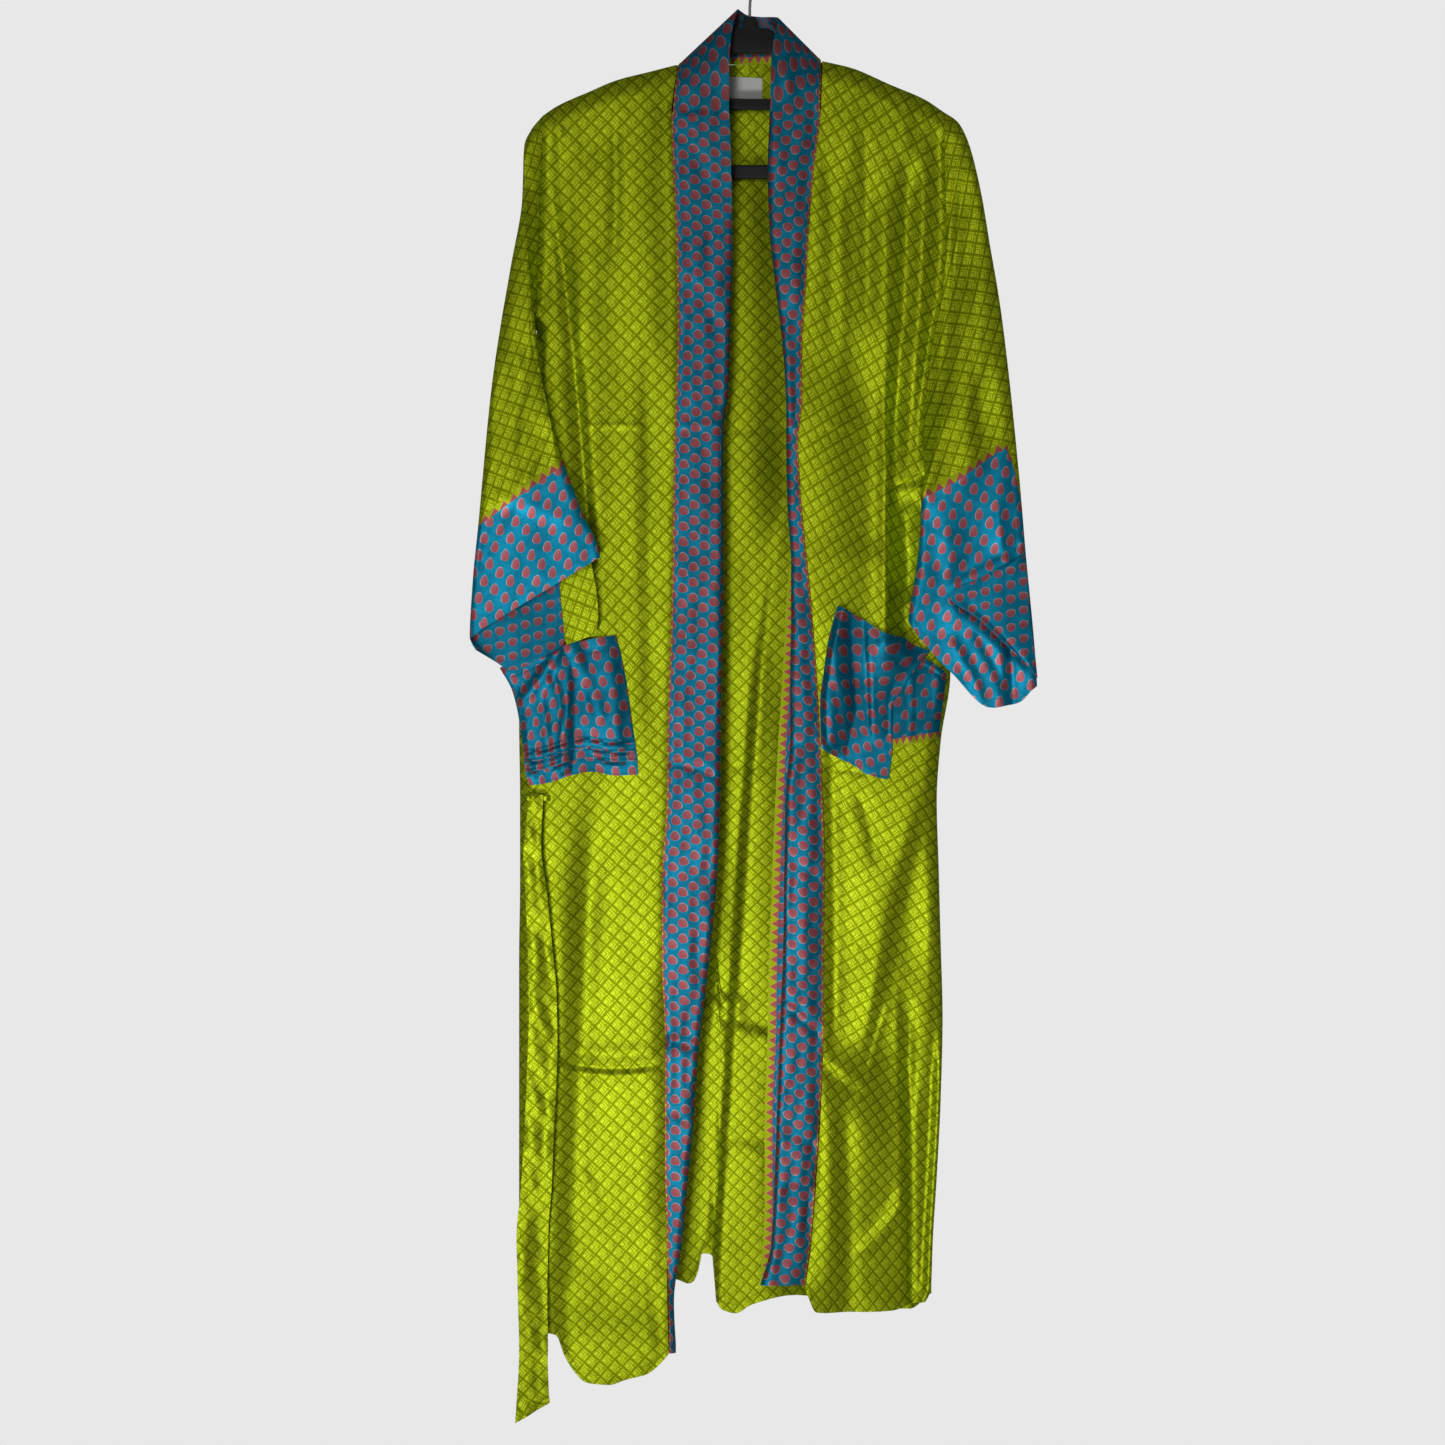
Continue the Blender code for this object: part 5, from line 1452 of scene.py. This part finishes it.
def make_band():
    share = np.linspace(0.0, 1.0, BAND_COLUMNS)
    grid = []
    left_low = float(HEM_L.at("z", 1))
    right_low = float(HEM_R.at("z", 1))
    for z in np.arange(left_low, BAND_L.data[-1, 0], CELL):
        grid.append(band_row(BAND_L, -1, z, share))
    first, last = BAND_NECK.data[0, 0], BAND_NECK.data[-1, 0]
    for station in np.linspace(first, last, NECK_ROWS):
        seam = np.array([BAND_NECK.at(c, station) for c in ("seam_x", "seam_y", "seam_z")])
        free = np.array([BAND_NECK.at(c, station) for c in ("free_x", "free_y", "free_z")])
        grid.append(seam + (free - seam) * share[:, None])
    for z in np.arange(BAND_R.data[-1, 0], right_low, -CELL):
        grid.append(band_row(BAND_R, 1, z, share))
    outer = np.array(grid)
    x, z = outer[..., 0], outer[..., 2]
    flat = outer[..., 1] < -14 * MM
    extra = creases(BAND_CREASES, x, z) + softness(x, z, *BAND_SOFTNESS)
    outer[..., 1] -= extra * flat * ease(share / 0.1)
    seamed = np.zeros(outer.shape[:2], dtype=bool)
    seamed[:, 0] = outer[:, 0, 2] < -0.17
    inner = moved(outer, BAND_WALL, (0, 1, 0), level=seamed)
    run = np.cumsum(np.linalg.norm(np.diff(outer[:, 0], axis=0, prepend=outer[:1, 0]), axis=1))
    away = np.cumsum(np.linalg.norm(np.diff(outer, axis=1, prepend=outer[:, :1]), axis=2), axis=1)
    mapped = flat_map(away, run[:, None])
    behind = outer[:, :1, 1] > -8 * MM
    border = away + np.where(behind, 0.3 * MM, TOOTH_HEIGHT - 1.8 * MM)
    edge = np.stack(np.broadcast_arrays(run[:, None], border), axis=-1)
    return shell("band_cloth", outer, inner, mapped, edge)


def panel_face(x, z):
    keep = ROUND_SIDE + 1 * MM
    low = FRONT_L.at("side", z) + keep
    return front_face(np.maximum(x, low), z)


def tucks(above):
    """Three stitched tucks across the foot of a pocket, from the height above its lower edge."""
    ridge = 0
    for height in TUCK_HEIGHTS:
        ridge = ridge + 1.2 * MM * np.exp(-((above - height) / (1.3 * MM)) ** 2)
        ridge = ridge - 1.4 * MM * np.exp(-((above - height + 2.0 * MM) / (0.9 * MM)) ** 2)
    return ridge


def make_pocket(name, sides, ends, height, stand, surface, folds_table, tucked=False, toothed=False):
    across, down, x, z = patch(sides, ends, *(TUCKED_GRID if tucked else POCKET_GRID))
    belly = np.sin(math.pi * clip01(across)) ** 0.7 * ease((1 - down) / 0.45)
    near_side = ease(across / 0.07) * ease((1 - across) / 0.07)
    extra = creases(folds_table, x, z) * near_side * ease((1 - down) / 0.06)
    tall = (ends.at("top", 0.5) - ends.at("bottom", 0.5)) * (0.5 - down)
    above = z - ends.at("bottom", across)
    taken = 0.0
    if tucked:
        extra = extra + tucks(above) * ease(across / 0.03) * ease((1 - across) / 0.03)
        taken = sum(take * (above < tuck) for tuck, take in zip(TUCK_HEIGHTS, TUCK_TAKES))
    lip = 0.8 * MM * (1 - ease((down - 0.05) / 0.02)) - 0.5 * MM * np.exp(-((down - 0.085) / 0.012) ** 2)
    raised = np.maximum(stand * belly + extra + lip * near_side, -0.2 * MM)
    base = np.stack((x, surface(x, z), z), axis=2)
    inner = moved(base, height + raised + 0.5 * MM, (0, -1, 0))
    outer = moved(inner, WALL, (0, -1, 0))
    wide = (sides.at("right", 0.5) - sides.at("left", 0.5)) * (across - 0.5)
    wide = wide + GATHER * np.minimum(x - GATHER_PLACE, 0)
    edge = np.stack((x, above), axis=-1) if toothed else None
    return shell(name, outer, inner, flat_map(wide, tall + taken), edge)


def make_hanger(name):
    curve = bpy.data.curves.new(name, "CURVE")
    curve.dimensions = "2D"
    curve.fill_mode = "BOTH"
    curve.extrude = HANGER_HALF_THICK - HANGER_EDGE
    curve.bevel_depth = HANGER_EDGE
    curve.bevel_resolution = 3
    curve.offset = -HANGER_EDGE
    for half in (HANGER_OUTSIDE, HANGER_UPPER_GAP, HANGER_LOWER_GAP):
        right = [(x * MM, z * MM) for x, z in half]
        loop = right + [(-x, z) for x, z in reversed(right)]
        spline = curve.splines.new("POLY")
        spline.points.add(len(loop) - 1)
        for point, (x, z) in zip(spline.points, loop):
            point.co = (x, z, 0.0, 1.0)
        spline.use_cyclic_u = True
    drawn = linked(name + "_drawn", curve)
    mesh = bpy.data.meshes.new_from_object(drawn)
    bpy.data.objects.remove(drawn)
    shape = bmesh.new()
    shape.from_mesh(mesh)
    bmesh.ops.remove_doubles(shape, verts=shape.verts, dist=0.02 * MM)
    for vertex in shape.verts:
        vertex.co = (vertex.co.x, -vertex.co.z, vertex.co.y)
    bmesh.ops.recalc_face_normals(shape, faces=shape.faces)
    shape.to_mesh(mesh)
    shape.free()
    mesh.name = name
    return smoothed(name, mesh, 40)


def make_hook(name):
    reach = HOOK_INNER_RADIUS + WIRE_RADIUS
    foot = HANGER_OUTSIDE[0][1] * MM + SEAM
    path = [(0, 0, foot)] + [(x, 0, z) for x, z in HOOK_STEM]
    for degrees in range(-60, 206, 6):
        angle = math.radians(degrees)
        path.append((reach * math.cos(angle), 0, reach * math.sin(angle) - HOOK_INNER_RADIUS))
    path = np.array(path)
    tangent = np.gradient(path, axis=0)
    tangent /= np.linalg.norm(tangent, axis=1, keepdims=True)
    other = np.cross(tangent, (0.0, 1.0, 0.0))
    turn = np.linspace(0, 2 * math.pi, 16, endpoint=False)
    level = np.cos(turn)[:, None] * np.array((0.0, 1.0, 0.0))
    rings = []
    for centre, normal in zip(path, other):
        rings.append(centre + WIRE_RADIUS * (level + np.sin(turn)[:, None] * normal))
    count = len(turn)
    points = [tuple(p) for ring in rings for p in ring]
    faces = []
    for ring in range(len(rings) - 1):
        for k in range(count):
            a, b = ring * count + k, ring * count + (k + 1) % count
            faces.append((a, b, b + count, a + count))
    faces.append(tuple(range(count)))
    faces.append(tuple(range((len(rings) - 1) * count, len(rings) * count)))
    mesh = bpy.data.meshes.new(name)
    mesh.from_pydata(points, [], faces)
    shape = bmesh.new()
    shape.from_mesh(mesh)
    bmesh.ops.recalc_face_normals(shape, faces=shape.faces)
    shape.to_mesh(mesh)
    shape.free()
    return smoothed(name, mesh, 50)


def make_belt():
    top_z = BELT.data[-1, 0]
    low_z = BELT.data[0, 0]
    rows = [(z, BELT_FRONT_Y, z) for z in np.linspace(low_z, top_z, BELT_FRONT_ROWS)]
    for degrees in range(15, 180, 15):
        angle = math.radians(degrees)
        y = BELT_FRONT_Y + BELT_TURN * (1 - math.cos(angle))
        rows.append((top_z + BELT_TURN * math.sin(angle), y, top_z))
    for z in np.linspace(top_z, low_z + BELT_REAR_SHORTER, BELT_REAR_ROWS):
        rows.append((z, BELT_FRONT_Y + 2 * BELT_TURN, z))
    share = np.linspace(-0.5, 0.5, BELT_COLUMNS)
    grid = []
    for number, (z, y, key) in enumerate(rows):
        width = float(BELT.at("width", key))
        front = number < BELT_FRONT_ROWS
        sway = float(BELT.at("sway", key)) * (1 if front else 0.3)
        slant = BELT_TIP_SLANT * ease((low_z + 30 * MM - z) / (30 * MM)) if front else 0
        x = BELT.at("x", key) + share * width
        tilt = 0.06 * width * np.sin(share * 5) * front
        tilt = tilt + softness(x, z, *BELT_SOFTNESS) * front
        grid.append(np.stack((x, y - sway * share * 2 + tilt, z + slant * (share + 0.5)), axis=1))
    outer = np.array(grid)
    n = normals(outer, False)
    if n[2, 5, 1] < 0:
        n = -n
    inner = outer + n * WALL
    run = np.cumsum(np.linalg.norm(np.diff(outer[:, 5], axis=0, prepend=outer[:1, 5]), axis=1))
    mapped = print_map(REPEAT_FRONT_L, outer[..., 0], run[:, None] - 1.5 + 0 * outer[..., 0])
    return shell("belt_cloth", outer, inner, mapped)


def make_belt_loop():
    top_z = BELT.data[-1, 0]
    middle = float(BELT.at("x", top_z))
    half = 10 * MM
    rest = top_z - 1.6 * MM
    stand = BELT_FRONT_Y + BELT_TURN
    path = [(-half - 4 * MM, 0.0), (-half - 2 * MM, 0.35), (-half, 1.0), (0, 1.0)]
    path = path + [(-x, out) for x, out in reversed(path[:-1])]
    grid = []
    for x, out in path:
        seat = float(front_y(np.array(middle + x), np.array(rest))) - 1.0 * MM - CLOTH
        y = seat + (stand - seat) * out
        grid.append([(middle + x, y, rest - 3 * MM), (middle + x, y, rest), (middle + x, y, rest + 2 * MM)])
    outer = np.array(grid)
    inner = moved(outer, WALL, (0, 1, 0))
    return shell("belt_carrier_cloth", outer, inner, print_map(REPEAT_FRONT_L, outer[..., 0], outer[..., 2]))


def grid_shares(columns, rows):
    """Shares across and down a sheet, as a row and a column."""
    return np.linspace(0, 1, columns)[None, :], np.linspace(0, 1, rows)[:, None]


def hanging_sheet(name, x, y, z, print_uv, edge=None):
    """A single layer whose given face is turned to the viewer."""
    outer = np.stack(np.broadcast_arrays(x, y, z), axis=2)
    return shell(name, outer, moved(outer, WALL, (0, 1, 0)), print_uv, edge)


def make_facing():
    columns, rows = FACING_GRID
    share, _ = grid_shares(columns, rows)
    z = np.linspace(FACING_R.data[-1, 0], FACING_R.data[0, 0], rows)[:, None]
    free = FACING_R.at("free", z)
    x = free + (BAND_R.at("seam", z) - 3 * MM - free) * share
    y = -FRONT - BAND_STAND + 2 * BAND_ROLL + FACING_GAP
    edge = np.stack(np.broadcast_arrays(z, x - free), axis=-1)
    return hanging_sheet("facing_cloth", x, y, z, flat_map(x, z), edge)


def make_sleeve_fold():
    across, down, x, z = patch(SLEEVE_FOLD_L, SLEEVE_FOLD_L_ENDS, *SLEEVE_FOLD_GRID)
    y = SLEEVE_FOLD_Y + 0.8 * MM * np.sin(across * 5) * ease((down - 0.2) / 0.6)
    return hanging_sheet("sleeve_fold_cloth", x, y, z, print_map(REPEAT_SLEEVE_L, x, z))


def make_cuff_fold():
    across, down = grid_shares(*CUFF_FOLD_GRID)
    left = CUFF_FOLD_R.at("left", down)
    x = left + (CUFF_FOLD_R.at("right", down) - left) * across
    z = CUFF_FOLD_R.at("z_left", down)
    z = z + (CUFF_FOLD_R.at("z_right", down) - z) * across
    y = CUFF_FOLD_Y - CUFF_FOLD_BULGE * np.sin(math.pi * across) - 1.6 * MM * (1 - ease(across / 0.25))
    return hanging_sheet("cuff_fold_cloth", x, y, z, flat_map(x, z))


def make_label():
    across, down = grid_shares(*LABEL_GRID)
    x = (LABEL_LEFT + (LABEL_RIGHT - LABEL_LEFT) * across) * MM + 0 * down
    z = (LABEL_TOP - LABEL_HEIGHT * down - 3.0 * across) * MM
    inner = np.stack((x, back_y(x, z) - CLOTH - SEAM, z), axis=2)
    outer = moved(inner, LABEL_WALL, (0, -1, 0))
    return shell("neck_label_tape", outer, inner, flat_map(x, z) / MM)


def in_green(piece, node):
    return dressed(piece, GREEN, "silk_green", node)


def in_blue(piece, silk_print, node, lining=None):
    return dressed(piece, silk_print, "silk_blue", node, lining=lining)


dressed(make_hanger("hanger_moulding"), BLACK, "hanger_black", "hanger")
dressed(make_hook("hook_wire"), STEEL, "hook_steel", "hook")
front_l = in_green(make_front("front_l_cloth", FRONT_L, HEM_L, -1, REPEAT_FRONT_L), "front_l")
front_r = in_green(make_front("front_r_cloth", FRONT_R, HEM_R, 1, REPEAT_FRONT_R), "front_r")
back = in_green(make_back("back_cloth", REPEAT_BACK), "back")
band = in_blue(make_band(), BAND_BLUE, "collar_band")
facing = in_blue(make_facing(), BAND_BLUE, "band_facing_r")

sleeve_l, cuff_l = make_arm("l", ARM_L, -1, REPEAT_SLEEVE_L)
sleeve_r, cuff_r = make_arm("r", ARM_R, 1, REPEAT_SLEEVE_R)
in_green(sleeve_l, "sleeve_l")
in_green(sleeve_r, "sleeve_r")
in_blue(cuff_l, CUFF_BLUE, "cuff_l", lining=CUFF_INSIDE)
in_blue(cuff_r, CUFF_BLUE, "cuff_r", lining=CUFF_INSIDE)

pocket_l = make_pocket("pocket_l_cloth", POCKET_L, POCKET_L_ENDS, SEAM, POCKET_STAND,
                       panel_face, POCKET_L_CREASES, tucked=True)
in_blue(pocket_l, POCKET_BLUE, "pocket_l")
pocket_fold = make_pocket("pocket_fold_cloth", POCKET_FOLD_R, POCKET_FOLD_R_ENDS, POCKET_FOLD_LIFT, 0.0,
                          front_face, POCKET_FOLD_CREASES, toothed=True)
in_blue(pocket_fold, POCKET_FOLD_BLUE, "pocket_fold_r")
pocket_r = make_pocket("pocket_r_cloth", POCKET_R, POCKET_R_ENDS, POCKET_FOLD_LIFT + SEAM + CLOTH,
                       POCKET_STAND, front_face, POCKET_R_CREASES)
in_blue(pocket_r, POCKET_R_BLUE, "pocket_r")

sleeve_fold = in_green(make_sleeve_fold(), "sleeve_fold_l")
cuff_fold = in_blue(make_cuff_fold(), CUFF_TURNED, "cuff_fold_r")
belt = in_green(make_belt(), "belt")
carrier = in_green(make_belt_loop(), "belt_loop")
label = dressed(make_label(), WHITE, "label_white", "neck_label")

STITCH = 2.2 * MM  # length of one stitch
STITCH_GAP = 0.8 * MM
THREAD = 0.45 * MM  # thickness of the thread


def stitch_tree():
    """Raised stitches laid end to end along every line of a mesh."""
    tree = bpy.data.node_groups.new("stitches", "GeometryNodeTree")
    for title in ("Lines", "Stitch length", "Gap", "Thread", "Material"):
        kind = {"Lines": "NodeSocketGeometry", "Material": "NodeSocketMaterial"}.get(title, "NodeSocketFloat")
        tree.interface.new_socket(title, in_out="INPUT", socket_type=kind)
    tree.interface.new_socket("Stitches", in_out="OUTPUT", socket_type="NodeSocketGeometry")
    inputs = tree.nodes.new("NodeGroupInput")
    pitch = tree.nodes.new("ShaderNodeMath")
    curve = tree.nodes.new("GeometryNodeMeshToCurve")
    spaced = tree.nodes.new("GeometryNodeResampleCurve")
    spaced.mode = "LENGTH"
    radius = tree.nodes.new("ShaderNodeMath")
    radius.operation = "MULTIPLY"
    radius.inputs[1].default_value = 0.5
    one = tree.nodes.new("GeometryNodeMeshCylinder")
    one.inputs["Vertices"].default_value = 6
    tangent = tree.nodes.new("GeometryNodeInputTangent")
    turn = tree.nodes.new("FunctionNodeAlignRotationToVector")
    turn.axis = "Z"
    laid = tree.nodes.new("GeometryNodeInstanceOnPoints")
    solid = tree.nodes.new("GeometryNodeRealizeInstances")
    coloured = tree.nodes.new("GeometryNodeSetMaterial")
    outputs = tree.nodes.new("NodeGroupOutput")
    for start, end in (
        (inputs.outputs["Stitch length"], pitch.inputs[0]), (inputs.outputs["Gap"], pitch.inputs[1]),
        (inputs.outputs["Lines"], curve.inputs["Mesh"]), (curve.outputs[0], spaced.inputs["Curve"]),
        (pitch.outputs[0], spaced.inputs["Length"]), (inputs.outputs["Thread"], radius.inputs[0]),
        (radius.outputs[0], one.inputs["Radius"]), (inputs.outputs["Stitch length"], one.inputs["Depth"]),
        (spaced.outputs[0], laid.inputs["Points"]), (one.outputs["Mesh"], laid.inputs["Instance"]),
        (tangent.outputs[0], turn.inputs["Vector"]), (turn.outputs[0], laid.inputs["Rotation"]),
        (laid.outputs[0], solid.inputs[0]), (solid.outputs[0], coloured.inputs["Geometry"]),
        (inputs.outputs["Material"], coloured.inputs["Material"]), (coloured.outputs[0], outputs.inputs[0]),
    ):
        tree.links.new(start, end)
    return tree


def sewn_line(name, edge, distance, inside=False):
    """Points on a sheet at a set distance from its top, bottom, left or right edge."""
    outer, inner = FACES[name]
    grid, other = (inner, outer) if inside else (outer, inner)
    grid = grid + (grid - other) / np.linalg.norm(grid - other, axis=2, keepdims=True) * THREAD * 0.25
    if edge in ("left", "right"):
        grid = grid.swapaxes(0, 1)
    if edge in ("bottom", "right"):
        grid = grid[::-1]
    steps = np.linalg.norm(np.diff(grid, axis=0), axis=2)
    far = np.concatenate((np.zeros((1, grid.shape[1])), np.cumsum(steps, axis=0)))
    places = range(2, grid.shape[1] - 2)
    return [[np.interp(distance, far[:, c], grid[:, c, axis]) for axis in range(3)] for c in places]


def sewn(name, lines, thread):
    """All stitches of one thread, laid along the given lines by the stitch tree."""
    points = [point for line in lines for point in line]
    edges = []
    start = 0
    for line in lines:
        edges += [(n, n + 1) for n in range(start, start + len(line) - 1)]
        start += len(line)
    path = bpy.data.meshes.new(name + "_lines")
    path.from_pydata(points, edges, [])
    drawn = linked(name + "_lines", path)
    modifier = drawn.modifiers.new("stitches", "NODES")
    modifier.node_group = STITCHES
    values = {"Stitch length": STITCH, "Gap": STITCH_GAP, "Thread": THREAD, "Material": thread}
    for item in STITCHES.interface.items_tree:
        if item.in_out == "INPUT" and item.name in values:
            modifier[item.identifier] = values[item.name]
    bpy.context.view_layer.update()
    seen = drawn.evaluated_get(bpy.context.evaluated_depsgraph_get())
    mesh = bpy.data.meshes.new_from_object(seen)
    mesh.name = name
    drawn.modifiers.remove(modifier)
    bpy.data.objects.remove(drawn)
    made = linked(name, mesh)
    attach(made, "root")
    return made


STITCHES = stitch_tree()
HEM_STITCH = HEM_TURN - 0.8 * MM
green_sheets = ("front_l_cloth", "front_r_cloth", "back_cloth")
green_lines = [sewn_line(name, "bottom", HEM_STITCH) for name in green_sheets]
green_lines.append(sewn_line("back_cloth", "bottom", HEM_STITCH, inside=True))
blue_lines = [
    sewn_line("cuff_l_cloth", "bottom", HEM_STITCH),
    sewn_line("cuff_r_cloth", "bottom", HEM_STITCH),
    sewn_line("cuff_l_cloth", "bottom", HEM_STITCH, inside=True),
    sewn_line("band_cloth", "left", 1.8 * MM),
    sewn_line("facing_cloth", "left", 9.0 * MM),
    sewn_line("cuff_fold_cloth", "left", 2.0 * MM),
]
for pocket in ("pocket_l_cloth", "pocket_r_cloth"):
    for edge in ("left", "right", "bottom"):
        blue_lines.append(sewn_line(pocket, edge, 2.0 * MM))
    blue_lines.append(sewn_line(pocket, "top", 11.0 * MM))
for height in TUCK_HEIGHTS:
    blue_lines.append(sewn_line("pocket_l_cloth", "bottom", height - 2.0 * MM))
white_lines = [sewn_line("neck_label_tape", edge, 1.0 * MM) for edge in ("left", "right")]
sewn("green_stitches", green_lines, COTTON_GREEN)
sewn("blue_stitches", blue_lines, COTTON_BLUE)
sewn("white_stitches", white_lines, COTTON_WHITE)


def light(name, place, aim, size, power, colour):
    """A round soft light at one place that points at another."""
    disc = bpy.data.lights.new(name, "AREA")
    disc.shape = "DISK"
    disc.size = size
    disc.energy = power
    disc.color = colour
    lamp = linked(name, disc)
    lamp.location = place
    lamp.visible_camera = False
    way = np.array(aim, dtype=float) - np.array(place, dtype=float)
    flat = math.hypot(way[0], way[1])
    lamp.rotation_euler = (math.atan2(flat, -way[2]), 0.0, math.atan2(way[1], way[0]) - math.pi / 2)


def backdrop_to_camera(tree, lit, kind, output):
    """The camera sees the even backdrop, while all other light comes from the lit surface."""
    seen = tree.nodes.new(kind)
    rays = tree.nodes.new("ShaderNodeLightPath")
    pick = tree.nodes.new("ShaderNodeMixShader")
    seen.inputs["Color"].default_value = BACKDROP
    tree.links.new(rays.outputs["Is Camera Ray"], pick.inputs[0])
    tree.links.new(lit.outputs[0], pick.inputs[1])
    tree.links.new(seen.outputs[0], pick.inputs[2])
    tree.links.new(pick.outputs[0], tree.nodes[output].inputs["Surface"])


# Name, place, aim, size, power and colour of each light.
LIGHTS = (
    ("low_soft_light", (-0.62, -2.0, -1.62), (-0.14, 0, -1.15), 0.5, 16, (0.97, 0.99, 1.0)),
    ("high_soft_light", (-0.50, -2.5, -0.25), (-0.1, 0, -0.5), 0.6, 6.3, (1.0, 0.98, 0.95)),
    ("rear_soft_light", (0.2, 2.4, -0.2), (0.0, 0, -0.7), 1.8, 26, (1.0, 0.99, 0.97)),
)
BACKDROP = rgb(0.807, 0.807, 0.807)
AMBIENT = 0.15
FLOOR_GREY = rgb(0.78, 0.78, 0.78)
FLOOR_Z = -1.56
FLOOR_REACH = 1.2
SENSOR = 36.0
VIEW_DISTANCE = 3.0
VIEW_WIDTH = 1.4739  # metres that the picture shows across the robe's front
CAMERA_PLACE = (-0.02805, -3.02, -0.78795)

for settings in LIGHTS:
    light(*settings)

world = bpy.data.worlds.new("pale_studio")
world.use_nodes = True
bpy.context.scene.world = world
sky = world.node_tree.nodes["Background"]
sky.inputs["Color"].default_value = BACKDROP
sky.inputs["Strength"].default_value = AMBIENT
backdrop_to_camera(world.node_tree, sky, "ShaderNodeBackground", "World Output")

floor_mesh = bpy.data.meshes.new("pale_floor")
corners = [(x * FLOOR_REACH, y * FLOOR_REACH, FLOOR_Z) for x, y in ((-1, -1), (1, -1), (1, 1), (-1, 1))]
floor_mesh.from_pydata(corners, [], [(0, 1, 2, 3)])
floor = linked("pale_floor", floor_mesh)
ground = bpy.data.materials.new("pale_floor")
ground.use_nodes = True
paint = ground.node_tree.nodes["Principled BSDF"]
paint.inputs["Base Color"].default_value = FLOOR_GREY
paint.inputs["Roughness"].default_value = 0.9
backdrop_to_camera(ground.node_tree, paint, "ShaderNodeEmission", "Material Output")
floor_mesh.materials.append(ground)

lens = bpy.data.cameras.new("camera")
lens.sensor_width = SENSOR
lens.lens = SENSOR * VIEW_DISTANCE / VIEW_WIDTH
camera = linked("camera", lens)
camera.location = CAMERA_PLACE
camera.rotation_euler = (math.radians(90), 0.0, 0.0)
bpy.context.scene.camera = camera
bpy.context.scene.view_settings.view_transform = "Standard"
